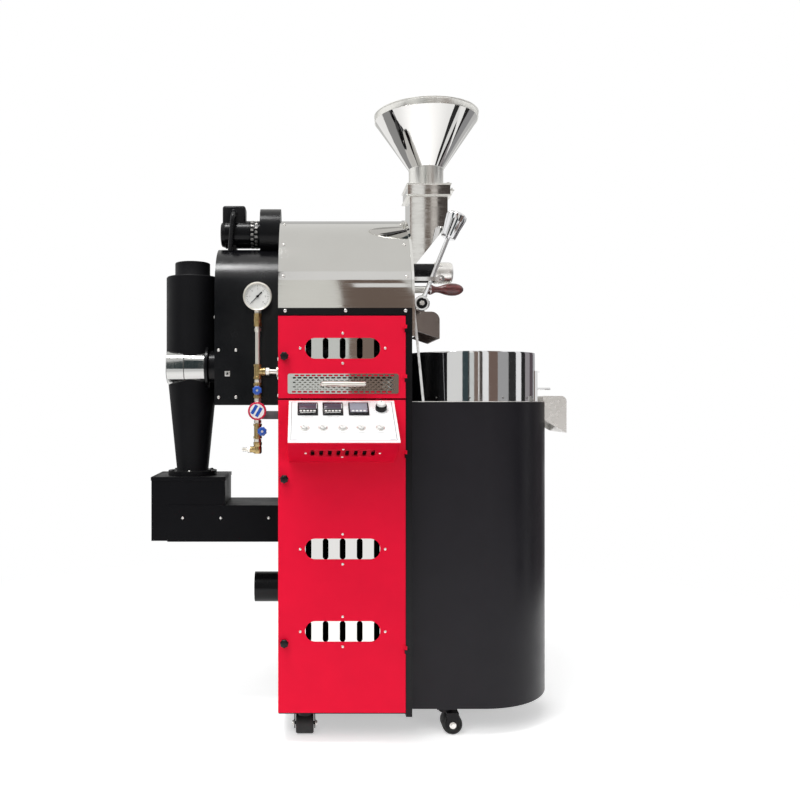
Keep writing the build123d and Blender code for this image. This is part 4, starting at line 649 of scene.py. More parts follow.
# Latch knobs on the doors, each with its shaft and cam
latchKnob = {"lobes": 7, "dip": 0.16, "soft": 0.5, "shaft": rod(0.6, -10, 4), "cam": ((-3.5, 9, 0), (3.5, 11, 11)),
             "stations": [(0.6, 6), (3, 6.4), (6, 9.4), (8, 10.8), (13, 10.8), (15.4, 8.2), (16, 5)]}
for latchName in ("upper_latch", "middle_latch", "lower_latch"):
    centre = Vector(joints[latchName + "_turn"]["pos_m"])
    knob = soften(ribbed(latchKnob["lobes"], latchKnob["dip"], latchKnob["stations"]), latchKnob["soft"])
    moved(knob, seatedAt(centre, forward))
    shaft = turned(latchKnob["shaft"], centre, forward, 20)
    low, high = [centre + Vector(corner) * mm for corner in latchKnob["cam"]]
    settle(dressed(joined([knob, shaft, boxed(low, high, 0.6)]), "blackPlastic"), latchName + "_knob", latchName,
           [latchName])
print("latch knobs done")

# Sloped control panel: plate, printed border, meters, dial and buttons
panel = {
    "left": 26, "width": 252, "top": 826, "reach": 137, "drop": 94, "thick": 2, "border": 7, "line": 0.7,
    "print": 0.12, "meters": (45, 104, 165), "meterAlong": 39, "meterLabel": 30, "meter": 48, "stand": 5,
    "buttons": (38, 80, 125, 167, 211), "buttonAlong": 112, "buttonLabel": 17, "buttonHole": 8.1, "buttonTurn": 35,
    "dialAt": (218, 38), "dialHole": 3.2, "scale": 17.5,
}
panelLength = math.hypot(panel["reach"], panel["drop"])
panelDown = Vector((0, -panel["reach"], -panel["drop"])) / panelLength
panelNormal = Vector((0, -panel["drop"], panel["reach"])) / panelLength


def panelSeat(offset, along):
    centre = spot(panel["left"] + offset, doorY, panel["top"]) + panelDown * along * mm
    return Matrix.Translation(centre) @ Matrix((rightward, -panelDown, panelNormal)).transposed().to_4x4()


def makePanelPlate():
    half, start = panel["width"] / 2, panel["thick"] * panel["drop"] / panel["reach"]
    seat, reach = panelSeat(half, (panelLength + start) / 2), (panelLength - start) / 2
    plate = block((-half, -reach, -panel["thick"]), (half, reach, 0), 0.5, 2, "whitePanel", seat)
    holes = [(offset, panel["buttonAlong"], panel["buttonHole"]) for offset in panel["buttons"]]
    for offset, along, radius in holes + [(*panel["dialAt"], panel["dialHole"])]:
        cutBy(plate, moved(turned(rod(-6, 6, radius), steps=32), panelSeat(offset, along)))
    return plate


def makePanelPrint():
    half, reach = panel["width"] / 2 - panel["border"], panelLength / 2 - panel["border"]
    middle, line, bars = panelSeat(panel["width"] / 2, panelLength / 2), panel["line"], []
    for side in (-1, 1):
        caption = side * (half - 9)
        bars += [((-half, side * reach - line), (half, side * reach + line), "printPink", middle),
                 ((side * half - line, -reach), (side * half + line, reach), "printGrey", middle),
                 ((caption - 6, -reach + 3), (caption + 6, -reach + 4.2), "printGrey", middle)]
    for tick in range(11):  # scale round the dial
        seat = panelSeat(*panel["dialAt"]) @ spun(225 - 27 * tick) @ Matrix.Translation(rightward * panel["scale"] * mm)
        bars.append(((-1.6, -0.3), (1.6, 0.3), "printGrey", seat))
    for kind, wide in (("button", 7), ("meter", 13)):
        for offset in panel[kind + "s"]:
            seat = panelSeat(offset, panel[kind + "Along"] + panel[kind + "Label"])
            bars.append(((-wide, -0.5), (wide, 0.5), "printGrey", seat))
    return joined([block((*low, 0), (*high, panel["print"]), 0.04, 1, finish, seat)
                   for low, high, finish, seat in bars])


def makeMeter(offset, timer):
    seat, half, stand = panelSeat(offset, panel["meterAlong"]), panel["meter"] / 2, panel["stand"]
    glass, keys, pitch = ("greyWindow", 4, 9) if timer else ("smokedWindow", 5, 8)
    parts = [block((-half, -half, 0), (half, half, stand), 1.6, 3, "blackPlastic", seat),
             block((-22, -22, -18), (22, 22, 0), 0.8, 1, "blackPlastic", seat),
             block((-20.5, -5, stand - 0.4), (20.5, 20.5, stand + 0.5), 0.4, 2, glass, seat)]
    if timer:
        parts.append(block((-20, -17, stand - 0.4), (20, -5, stand + 0.4), 0.3, 1, glass, seat))
    for key in range(keys):
        low, high = (key - (keys - 1) / 2) * pitch - 2.9, (key - (keys - 1) / 2) * pitch + 2.9
        parts.append(block((low, -15, stand - 0.2), (high, -9.4, stand + 0.9), 0.5, 2, "paleKey", seat))
    if not timer:
        parts += [block((-18, -19.2, stand - 0.2), (18, -17.6, stand + 0.4), 0.3, 1, "paleKey", seat),
                  block((19, -2, stand - 0.2), (21.6, 18, stand + 0.3), 0.2, 1, "paleKey", seat)]
    return joined(parts)


def makeDial():
    skirt = dressed(ribbed(20, 0.05, [(0.5, 13), (1.5, 13.6), (12, 13), (13.5, 11.6)]), "blackPlastic")
    cap = lathed([(12, 0), (12, 11), (18, 10.4), (19, 9.4), (19, 0)], "whitePlastic", 32)
    stem = lathed(rod(-12, 2, 3), "zincPlate", 20)
    pointer = block((-0.5, 3, 18.7), (0.5, 10, 19.2), 0.1, 1, "blackPlastic")
    return moved(joined([skirt, cap, stem, pointer]), panelSeat(*panel["dialAt"]))


settle(makePanelPlate(), "panel_plate", "lower_door", ["control_panel"])
settle(makePanelPrint(), "panel_print", "lower_door")
for number, offset in enumerate(panel["meters"], 1):
    settle(makeMeter(offset, number == 3), f"panel_meter_{number}", "lower_door")
settle(makeDial(), "dial_cap", "dial_knob", ["dial_knob"])
collars = []
for number, offset in enumerate(panel["buttons"], 1):
    seat, hole = panelSeat(offset, panel["buttonAlong"]), panel["buttonHole"]
    ring = lathed(closed([(0, hole), (0, 11), (1.2, 11), (2, 10), (2, 8.4)]), "zincPlate")
    collars.append(moved(ring, seat))
    cap = lathed([(-8, 0), (-8, 7.8), (4, 7.8), (4.8, 7.2), (5, 6), (4.6, 3), (4.5, 0)], "paleKey")
    pointer = block((-1.1, -6.4, 4), (1.1, 6.4, 6.6), 0.6, 2, "whitePlastic" if number == 3 else "paleKey")
    settle(moved(joined([cap, pointer]), seat @ spun(panel["buttonTurn"])), f"button_cap_{number}",
           f"button_{number}", [f"button_{number}"])
settle(joined(collars), "button_collars", "lower_door")
print("control panel done")

# Bar handle of the chaff tray, bent over its two posts
trayHandle = {"x": 156, "z": 865, "length": 105, "radius": 5.2, "stand": 24.4, "post": 10}


def makeTrayHandle():
    x, z, half, r = trayHandle["x"], trayHandle["z"], trayHandle["length"] / 2, trayHandle["radius"]
    profile = [(-half - 0.4, 0), (-half - 0.4, 3), (-half + 2, r), (half - 2, r), (half + 0.4, 3), (half + 0.4, 0)]
    parts = [fitting(profile, (x, doorY - trayHandle["stand"], z), "x", "paleNickel", 28)]
    for side in (-1, 1):
        foot = (x + side * (half - trayHandle["post"]), doorY - 2.4, z)
        parts.append(fitting([(0, 0), (0, 5.4), (1, r), (22, r), (22, 0)], foot, forward, "paleNickel", 24))
    return joined(parts)


settle(makeTrayHandle(), "tray_handle", "chaff_tray")
print("tray handle done")

# Gas train on the left: gauge, cock, pipe, tee, valves, regulator, elbow and barb
gas = {
    "x": -51, "y": -215, "pipe": 6, "pipeTop": 1046, "gauge": 1079, "cock": (1006, 1038), "tee": 896, "upper": 850,
    "regulator": 800, "lower": 751, "lowerShift": 12, "elbow": 706, "zero": 225, "ticks": 31, "tickTurn": 9,
    "tickRadius": 27.6, "numbers": 7, "numberTurn": 45, "numberRadius": 19, "numberSize": 5.6,
}
gaugeAt = (gas["x"], gas["y"], gas["gauge"])
gaugeSeat = seatedAt(spot(*gaugeAt), forward)


def makeGauge():
    parts = fittings(
        gaugeAt, forward,
        ("paleNickel", 40, [(-13, 0), (-13, 26), (-11, 31), (-4, 33.4), (6, 33.6), (6, 31.4), (6, 0)]),
        ("paleNickel", 64, closed([(5, 31.4), (5, 34.2), (9, 35), (12, 35.2), (13.4, 34.4), (13.8, 33), (13, 31.6),
                                   (11, 31.2)])),
        ("whitePlastic", 64, sleeve(6.05, 6.4, 2, 31.2)))
    for tick in range(gas["ticks"]):
        length = 4.5 if tick % 5 == 0 else 2.4
        seat = gaugeSeat @ spun(gas["zero"] - gas["tickTurn"] * tick)
        seat = seat @ Matrix.Translation(rightward * gas["tickRadius"] * mm)
        parts.append(block((-length, -0.35, 6.3), (0, 0.35, 6.55), 0.04, 1, "blackPlastic", seat))
    return joined(parts)


def makeGaugeNumbers():
    numbers = []
    for step in range(gas["numbers"]):
        freshStart()
        bpy.ops.object.text_add()
        text = bpy.context.object.data
        text.body = str(step)
        text.size, text.extrude = gas["numberSize"] * mm, 0.1 * mm
        text.align_x, text.align_y = "CENTER", "CENTER"
        bpy.ops.object.convert(target="MESH")
        out, (across, up) = gas["numberRadius"], around(gas["zero"] - gas["numberTurn"] * step)
        centre = spot(gas["x"] + out * across, gas["y"] - 6.5, gas["gauge"] + out * up)
        numbers.append(moved(bpy.context.object, Matrix.Translation(centre) @ spun(90, "X")))
    return dressed(joined(numbers), "blackPlastic")


def makeGasPipework():
    x, y, pipe, (low, high) = gas["x"], gas["y"], gas["pipe"], gas["cock"]
    run, tee, body, elbow = [(x, y, z) for z in (0, gas["tee"], gas["regulator"], gas["elbow"])]
    bead = [(12, 9), (13, 10.4), (18, 10.4), (18, 0)]
    crossBead = [(-a, r) for a, r in bead[::-1]] + bead
    parts = fittings(
        run, "z", ("paleNickel", 40, rod(gas["elbow"], gas["pipeTop"], pipe)),
        ("paleNickel", 6, nut(high + 1, high + 9, 9)), ("oldBrass", 6, nut(low, low + 9, 10.5)),
        ("oldBrass", 6, nut(high - 9, high, 10.5)), ("paleNickel", 6, nut(low - 12, low - 3, 9)),
        ("oldBrass", 40, [(low, 0), (low, 8), (low + 16, 10), (high, 8), (high, 0)]))
    parts += fittings((x, y, (low + high) / 2), forward, ("oldBrass", 40, [(0, 0), (0, 5), (13, 5), (14, 4), (14, 0)]))
    parts += fittings(tee, "z", ("oldBrass", 40, crossBead))
    parts += fittings(
        tee, "x", ("oldBrass", 40, [(0, 0), (0, 9)] + bead), ("paleNickel", 6, nut(19, 29, 9.5)),
        ("paleNickel", 40, rod(18, 51, pipe)), ("paleNickel", 40, [(46, 0), (46, 12), (50, 12), (51, 11), (51, 0)]))
    for height, shift in ((gas["upper"], 0), (gas["lower"], gas["lowerShift"])):
        parts += fittings((x, y, height), "z", ("oldBrass", 40, crossBead), ("paleNickel", 6, nut(19, 27, 9.5)),
                          ("paleNickel", 6, nut(-27, -19, 9.5)))
        parts += fittings(
            (x + shift, y, height), forward,
            ("oldBrass", 40, closed([(0, 3.1), (0, 8), (11, 8), (15, 7), (15, 3.1)])),
            ("paleNickel", 6, sleeve(6, 11, 3.2, 9.5)))
    parts += fittings(
        body, forward, ("zincPlate", 40, [(-15, 0), (-15, 13), (-6, 18), (-3, 20), (3, 20), (4, 18), (15, 17),
                                          (15, 4.1), (-6, 4.1), (-6, 0)]))
    bracket = boxed(spot(x + 10, y, body[2] - 20), spot(0, y + 20, body[2]), 2, 3)
    parts += fittings(
        elbow, "z", ("oldBrass", 40, [(-10, 0), (-10, 8), (-7, 10), (6, 10), (8, 9), (13, 10.4), (18, 10.4), (18, 0)]))
    parts += fittings(
        elbow, "x", ("oldBrass", 40, [(-18, 0), (-18, 7.5), (-12, 7.5), (-10, 9), (0, 9), (0, 0)]),
        ("paleNickel", 6, nut(-25, -18, 8)),
        ("paleNickel", 40, [(-38, 0), (-38, 3.6), (-34, 5.2), (-34, 4), (-30, 5.2), (-30, 4), (-26, 5.2), (-24, 4),
                            (-18, 4), (-18, 0)]))
    return joined(parts + [dressed(bracket, "castGrey")])


def makeNeedle():
    outline = [(-15, 1.9), (-6, 1.3), (4, 1.1), (25, 0.3), (25, -0.3), (4, -1.1), (-6, -1.3), (-15, -1.9)]
    blade = slab([Vector((a, b, 8.3)) * mm for a, b in outline], upward * 0.8 * mm)
    hub = turned([(6.45, 0), (6.45, 1.5), (8, 1.5), (8, 3.2), (9.8, 3.2), (10, 2.6), (10, 0)], steps=24)
    return moved(dressed(joined([blade, hub]), "blackPlastic"), gaugeSeat @ spun(gas["zero"]))


def makeHandwheel(nodeName):
    wheel = soften(ribbed(8, 0.14, [(-8, 8), (-7, 11), (-5, 12), (-2, 12), (-0.6, 10.6), (0, 8)]), 0.5)
    cap = lathed([(-0.2, 0), (-0.2, 3), (0.6, 3), (0.8, 0)], "zincPlate", 20)
    stem = lathed(rod(-26, -7, 3), "zincPlate", 20)
    return moved(joined([dressed(wheel, "bluePlastic"), cap, stem]), seatedAt(frontOf(nodeName), forward))


def makeRegulatorKnob():
    rim = ribbed(30, 0.03, [(-14, 20), (-12.5, 22.4), (-2, 22.4), (-0.6, 21.4), (0, 20)])
    parts = [dressed(rim, "redPlastic"),
             lathed([(-0.4, 0), (-0.4, 17.6), (0.5, 17.2), (0.6, 0)], "whitePlastic", 48),
             lathed(rod(-27, -13, 4), "zincPlate", 20)]
    for across in (-7.5, 5):
        parts.append(block((across - 4, -12, 0.2), (across + 4, 12, 0.9), 0.3, 1, "bluePlastic", spun(-30)))
    return moved(joined(parts), seatedAt(frontOf("regulator_knob"), forward))


settle(makeGauge(), "gauge", "frame")
settle(makeGaugeNumbers(), "gauge_numbers", "frame")
settle(fitting([(11, 0), (11, 31.1), (12, 31.1), (12.4, 24), (12.6, 0)], gaugeAt, forward, "clearLens", 64),
       "gauge_lens", "frame")
settle(makeGasPipework(), "gas_pipework", "frame", ["gas_train"])
settle(makeNeedle(), "needle_blade", "gauge_needle", ["gauge_needle"])
for valveName in ("valve_upper", "valve_lower"):
    settle(makeHandwheel(valveName), valveName + "_wheel", valveName, [valveName])
settle(makeRegulatorKnob(), "regulator_dial", "regulator_knob", ["regulator_knob"])
print("gas train done")

# Discharge door with its lever
lever = {"x": cabWidth + 38, "z": 1072, "side": -140, "lean": 22, "rod": 5.5, "arms": (-40, 40)}
leverAt = (lever["x"], lever["side"], lever["z"])
leverSeat = Matrix.Translation(spot(*leverAt)) @ spun(lever["lean"], "Y")


def makeDischargeDoor():
    x, z, r = lever["x"], lever["z"], lever["rod"]
    parts = [boxed(spot(plateFace + 1, -65, 1003), spot(plateFace + 5, 65, 1057), 0.8)]
    for y in lever["arms"]:
        outline = [(plateFace + 5, 1030), (plateFace + 5, 1052), (x - 6, z + 6), (x + 6, z - 6)]
        parts.append(soften(slab([spot(a, y - 2.5, b) for a, b in outline], backward * 5 * mm), 0.6))
    parts.append(turned([(-140, 0), (-140, 6), (102, 6), (103, 5), (103, 0)], spot(x, 0, z), "y", 32))
    steel = dressed(joined(parts), "brushedSteel")
    hub = fittings(
        leverAt, forward,
        ("brightChrome", 48, [(-8, 0), (-8, 17), (-5, 20), (6, 20), (8, 18), (8, 14), (5, 13), (5, 0)]),
        ("blackPlastic", 40, [(5, 0), (5, 13), (7, 13), (8, 12), (8, 0)]), ("zincPlate", 6, nut(7, 12, 7)))
    stem = lathed([(12, 0), (12, 7), (22, 7), (24, r), (186, r), (186, 0)], "brightChrome", 32)
    return joined([steel] + hub + [moved(stem, leverSeat)])


def makeLeverKnob():
    knob = ribbed(16, 0.07, [(178, 14), (179, 18), (184, 19.6), (204, 21.6), (222, 25), (234, 27), (241, 26),
                             (245.4, 20), (247, 10)])
    return moved(dressed(soften(knob, 0.6, 2, 25), "brightChrome"), leverSeat)


settle(makeDischargeDoor(), "discharge_flap", "discharge_door", ["discharge_door"])
settle(makeLeverKnob(), "lever_knob", "discharge_door", angle=55)
print("lever done")

# Sight glass and tryer handle
sight = {"place": (plateFace, -80, 1158), "parts": [
    ("blackSatin", 56, closed([(0, 22), (0, 31), (4, 31), (5, 25), (74, 25), (74, 22)])),
    ("zincPlate", 64, closed([(72, 22), (72, 26), (74, 28), (80, 28.2), (81, 27.4), (84, 27.4), (85, 28.2),
                              (110, 28.2), (116, 27), (119, 24.6), (120, 22), (119, 20), (117, 19.2), (117, 16),
                              (72, 16)])),
    ("clearLens", 56, [(114, 0), (114, 18.6), (117, 18.6), (118, 12), (118.4, 0)])]}
tryer = {"place": (plateFace + 56, -105, 1112), "parts": [
    ("turnedWood", 48, [(0, 0), (0, 12), (1, 13.4), (6, 13), (11, 10.4), (17, 8), (23, 7.8), (30, 9.6), (40, 13),
                        (50, 15.4), (59, 16.2), (69, 15.6), (78, 13), (85, 8.6), (88.5, 4), (89, 0)]),
    ("brightChrome", 40, closed([(-3, 9.05), (-3, 11.5), (3.5, 13.4), (4.5, 13.4), (4.5, 9.05)]))]}
settle(joined(fittings(sight["place"], "x", *sight["parts"])), "sight_tube", "frame", ["sight_glass"])
settle(joined(fittings(tryer["place"], "x", *tryer["parts"])), "tryer_grip", "tryer", ["tryer_handle"],
       angle=50)
print("sight glass and tryer done")

# Hopper with neck, band and rolled edge, gate frame flanges, and the chute's base flange
hopper = {"x": plateFace + 64.5, "frame": 1400, "neck": 1450, "shoulder": 1583, "top": 1600, "neckRadius": 46,
          "radius": 138, "flange": 59, "bore": 44, "plates": ((1367, 1371), (1396.5, 1400.5)), "bolt": 4,
          "boltAt": 51, "baseBoltY": 57, "baseBoltZ": (1150, 1197, 1245)}


def makeHopper():
    place, low, mid = (hopper["x"], 0, 0), hopper["frame"], hopper["neck"]
    shoulder, top, small, large = hopper["shoulder"], hopper["top"], hopper["neckRadius"], hopper["radius"]
    cone = closed([(mid - 1, small - 2), (mid - 1, small), (shoulder, large), (shoulder, large - 2)])
    neck = closed([(low, small - 2), (low, small + 5), (low + 3, small + 5), (low + 4, small + 0.3),
                   (mid - 3, small + 0.3), (mid, small + 1.4), (mid + 2, small + 1), (mid + 2, small - 2)])
    band = closed([(shoulder - 1, large - 2), (shoulder - 1, large + 0.4), (shoulder + 1, large + 0.8),
                   (top - 4, large + 0.6), (top - 3, large + 1.6), (top - 1, large + 1.8), (top, large + 0.8),
                   (top, large - 1), (top - 2, large - 2.2)])
    return joined(fittings(place, "z", ("mirrorSteel", 96, cone), ("brushedSteel", 72, neck),
                           ("brushedSteel", 96, band)))


def makeGateFlanges():
    x, half, plates = hopper["x"], hopper["flange"], []
    for low, high in hopper["plates"]:
        plate = boxed(spot(x - half, -half, low), spot(x + half, half, high), 1.2, 3)
        plates.append(cutBy(plate, turned(rod(low - 5, high + 5, hopper["bore"]), spot(x, 0, 0), "z", 64)))
    base = boxed(spot(plateFace - 0.5, -64, 1138), spot(plateFace + 3, 64, 1257), 1.2, 3)
    cutBy(base, boxed(spot(plateFace - 6, -49, 1151), spot(plateFace + 9, 49, 1243), 0.5, 1))
    return dressed(joined(plates + [base]), "brushedSteel")


settle(makeHopper(), "hopper_shell", "frame", ["hopper"])
settle(makeGateFlanges(), "hopper_flanges", "frame")
flangeBolts = [(spot(hopper["x"] + a * hopper["boltAt"], b * hopper["boltAt"], hopper["plates"][1][1]), upward,
                hopper["bolt"]) for a, b in corners]
flangeBolts += [(spot(plateFace + 3, side * hopper["baseBoltY"], z), rightward, hopper["bolt"])
                for side in (-1, 1) for z in hopper["baseBoltZ"]]
print("hopper done")


# Cooling bin: rolled top edge of the ring, edge strip round the bin, stirrer
def makeRingEdge():
    r, top = coolingBin["ring"], coolingBin["ringTop"]
    profile = [(top - 4, r + 0.1), (top, r + 0.1), (top + 1.2, r - 0.6), (top + 1.4, r - 3), (top - 1, r - 4.4),
               (top - 4, r - 3.2)]
    return fitting(closed(profile), (coolingBin["x"], 0, 0), "z", "brightChrome", 120)


def makeBinEdge():
    r, top, steps = coolingBin["radius"] - 1.6, coolingBin["top"] + 0.3, 48
    turns = [around(-90 + 180 * step / steps) for step in range(steps + 1)]
    path = [spot(coolingBin["x"] + r * across, r * along, top) for across, along in turns]
    strip = drawLine([spot(cabWidth + 1, -r, top)] + path + [spot(cabWidth + 1, r, top)])
    bpy.ops.mesh.extrude_region_move(TRANSFORM_OT_translate={"value": (0, 0, 1.6 * mm)})
    closeUp()
    return dressed(soften(shaped(strip, "SOLIDIFY", thickness=5 * mm, offset=0), 0.4), "zincPlate")


stirrer = {"hub": [(777, 0), (777, 10), (838, 10), (838, 22), (896, 22), (906, 20), (912, 15), (915, 8), (915, 0)],
           "z": 838, "arms": 3, "blades": (58, 97, 136), "tilt": 35}


def makeStirrer():
    parts = [fitting(stirrer["hub"], (coolingBin["x"], 0, 0), "z", "brushedSteel", 48)]
    for arm in range(stirrer["arms"]):
        turn = Matrix.Translation(spot(coolingBin["x"], 0, stirrer["z"])) @ spun(360 / stirrer["arms"] * arm)
        parts += [block((15, -3, 4), (152, 3, 26), 1, 2, "brushedSteel", turn),
                  block((24, -2, 0), (154, 2, 10), 0.5, 1, "hardRubber", turn)]
        for along in stirrer["blades"]:
            tilt = Matrix.Translation(rightward * along * mm) @ spun(stirrer["tilt"])
            parts.append(block((-14, -1, 1), (14, 1, 22), 0.5, 1, "brushedSteel", turn @ tilt))
    return joined(parts)


settle(makeRingEdge(), "ring_edge", "frame")
settle(makeBinEdge(), "bin_edge", "frame")
settle(makeStirrer(), "stirrer_arms", "stirrer", ["stirrer"])
print("cooling bin trim done")

# Exhaust fan motor and its lead
fan = {"z": 1275, "left": -162, "right": -55, "radius": 37, "windows": 18, "lead": 6.5, "foot": 1222,
       "leadRoute": [(-126, -20, 1327), (-126, -49, 1327), (-130, -49, 1280), (-134, -49, 1222)]}


def makeFanMotor():
    place, z, left, right, r = (0, 0, fan["z"]), fan["z"], fan["left"], fan["right"], fan["radius"]
    barrel = [(left, 0), (left, 28), (left + 2, 32), (left + 11, 35), (left + 12, r), (right - 30, r),
              (right - 29, r - 2), (right - 4, r - 2), (right - 3, r + 1), (right - 0.2, r + 1), (right - 0.2, 6),
              (right - 30, 6), (right - 30, 0)]
    parts = fittings(place, "x", ("blackSatin", 64, barrel),
                     ("blackSatin", 64, sleeve(right - 29, right - 4, r - 3, r - 0.4)))
    pitch = 360 / fan["windows"]
    for row in range(2):
        start = right - 26 + 11 * row
        for step in range(fan["windows"]):
            seat = Matrix.Translation(spot(*place)) @ spun(pitch * (step + row / 2), "X")
            parts.append(block((start, -3.2, r - 1.4), (start + 8, 3.2, r + 0.2), 0.5, 1, "millSteel", seat))
    box = boxed(spot(left + 5, -26, z + 22), spot(left + 67, 26, z + 74), 7, 4)
    gland = [(0, 0), (0, 10), (6, 10), (7, 8), (12, 8), (12, 0)]
    foot = boxed(spot(left + 20, -20, fan["foot"]), spot(left + 42, 20, z - 20), 2, 2)
    parts += [dressed(box, "blackSatin"), fitting(gland, (left + 36, -25, z + 52), forward, "blackSatin", 24),
              dressed(foot, "blackSatin")]
    return joined(parts)


def makeFanLead():
    freshStart()
    bpy.ops.curve.primitive_nurbs_path_add()
    lead = bpy.context.object.data
    lead.splines.clear()
    spline = lead.splines.new("NURBS")
    spline.points.add(len(fan["leadRoute"]) - 1)
    for point, place in zip(spline.points, fan["leadRoute"]):
        point.co = (*spot(*place), 1)
    spline.order_u = 3
    spline.use_endpoint_u = True
    lead.bevel_depth, lead.bevel_resolution = fan["lead"] * mm, 6
    lead.use_fill_caps = True
    bpy.ops.object.convert(target="MESH")
    return dressed(bpy.context.object, "blackPlastic")


settle(makeFanLead(), "fan_lead", "frame")
settle(makeFanMotor(), "fan_motor_shell", "frame", ["fan_motor"])
print("fan motor done")

# Cyclone with its inlet duct and bottom flange, and the chaff box's lid edge
cyclone = {"x": -240, "inlet": (-36, 914), "flange": (626, 638), "bolts": 6, "boltCircle": 56, "bolt": 4.4,
           "box": (96, 85), "boxLip": 1.5, "boxWall": 6}


def makeCyclone():
    low, top = cyclone["flange"]
    shell = closed([(low, 39), (low, 65), (top, 65), (top, 43.5), (642, 42.4), (920, 70), (1155.5, 70), (1158, 68),
                    (1158, 48.5), (1160, 47), (1195.5, 47), (1197, 45.8), (1197, 44), (1154, 44), (1154, 67),
                    (920, 67), (top, 39)])
    elbow = [(-300, 0), (-300, 43.5), (-298, 46.2), (-254, 46.2), (-253, 45), (-253, 0)]
    taper = [(-252.4, 0), (-252.4, 45.2), (-251.6, 45.8), (-200, 43.6), (-200, 0)]
    collar = closed([(-200, 40), (-199.4, 53), (-197, 56.5), (-191, 56.5), (-188.4, 53), (-188, 44), (-166.2, 44),
                     (-166.2, 40)])
    parts = fittings((cyclone["x"], 0, 0), "z", ("blackCrackle", 72, shell))
    return joined(parts + fittings((0, *cyclone["inlet"]), "x", ("ductSteel", 64, elbow), ("ductSteel", 64, taper),
                                   ("blackSatin", 64, collar)))


def makeBoxEdge():
    (wide, deep), lip, wall = cyclone["box"], cyclone["boxLip"], cyclone["boxWall"]
    x, low = cyclone["x"], cyclone["flange"][0]
    rim = boxed(spot(x - wide - lip, -deep - lip, low - 9), spot(x + wide + lip, deep + lip, low + 0.6), 1, 2)
    cutBy(rim, boxed(spot(x - wide + wall, -deep + wall, low - 20), spot(x + wide - wall, deep - wall, low + 20),
                     0.5, 1))
    return dressed(rim, "blackMatt")


settle(makeCyclone(), "cyclone_shell", "frame", ["cyclone"])
boltPlaces = []
for step in range(cyclone["bolts"]):
    out, (across, along) = cyclone["boltCircle"], around(-90 + 360 * step / cyclone["bolts"])
    centre = spot(cyclone["x"] + out * across, out * along, cyclone["flange"][1])
    boltPlaces.append((centre, upward, cyclone["bolt"]))
fastened("cyclone_bolts", boltTemplate, "frame", "blackSatin", boltPlaces[1:])
flangeBolts += boltPlaces[:1]
settle(makeBoxEdge(), "chaff_box_edge", "frame")
print("cyclone trim done")

# Castor wheels and axle bolts
castor = {"count": 4, "bore": 4.05, "bolt": 6.5, "boltStand": 4}
for number in range(1, castor["count"] + 1):
    low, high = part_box(f"castor_wheel_{number}")
    centre, size = (low + high) / 2, high - low
    axis = rightward if size.x < size.y else backward
    half = min(size.x, size.y) / 2 / mm
    edge = [(half, castor["bore"]), (half, 13), (half - 2, 15), (half - 2, 19), (half, 20), (half, 22),
            (half - 2, 24.4), (half - 5, 25)]
    wheel = turned(closed([(-a, r) for a, r in edge] + edge[::-1]), centre, axis, 64)
    settle(dressed(wheel, "hardRubber"), f"castor_tyre_{number}", f"castor_wheel_{number}",
           [f"castor_wheel_{number}"])
    places = [(centre + axis * side * (half + castor["boltStand"]) * mm, axis * side, castor["bolt"])
              for side in (-1, 1)]
    fastened(f"castor_bolts_{number}", boltTemplate, f"castor_fork_{number}", "zincPlate", places)
fastened("flange_bolts", boltTemplate, "frame", "zincPlate", flangeBolts)
for template in (screwTemplate, boltTemplate):
    bpy.data.objects.remove(template)
print("castors done")

# Louvred panel on the cabinet's back
backPanel = {"inset": 10, "low": 110, "high": 1010, "thick": 2.5, "louvres": 9, "pitch": 26, "first": 640,
             "louvreInset": 60}


def makeBackPanel():
    inset, start, face = backPanel["inset"], backPanel["louvreInset"], back["y"] + backPanel["thick"]
    low, high = spot(inset, back["y"], backPanel["low"]), spot(cabWidth - inset, face, backPanel["high"])
    parts = [boxed(low, high, 0.8, 2)]
    for row in range(backPanel["louvres"]):
        z = backPanel["first"] + row * backPanel["pitch"]
        outline = [(face - 0.5, z), (face + 6, z - 3), (face + 6, z - 5), (face - 0.5, z - 14)]
        louvre = slab([spot(start, y, height) for y, height in outline], rightward * (cabWidth - 2 * start) * mm)
        parts.append(soften(louvre, 0.8))
    return dressed(joined(parts), "blackSatin")


settle(makeBackPanel(), "back_panel", "frame")
print("back panel done")

# Floor, lamps, reflectors and camera
studio = {
    "floorSize": 30, "floorTone": 0.86, "shadowReach": (0.9, 2.2), "floorGlow": 0.45, "skyLight": 0.34,
}
# where each lamp hangs, its size and power, and whether polished metal shows it
lamps = {
    "key": ((-1.5, -3.0, 3.6), (2.6, 2.6), 90, False),
    "fill": ((1.8, -3.2, 1.0), (2.4, 1.6), 30, False),
    "rim": ((-1.2, 2.6, 2.8), (2.2, 2.2), 30, False),
    "top": ((-0.95, -0.95, 4.2), (1.15, 0.8), 64, True),
    "over": ((0.2, 0.2, 4.3), (2.6, 2.6), 24, False),
}
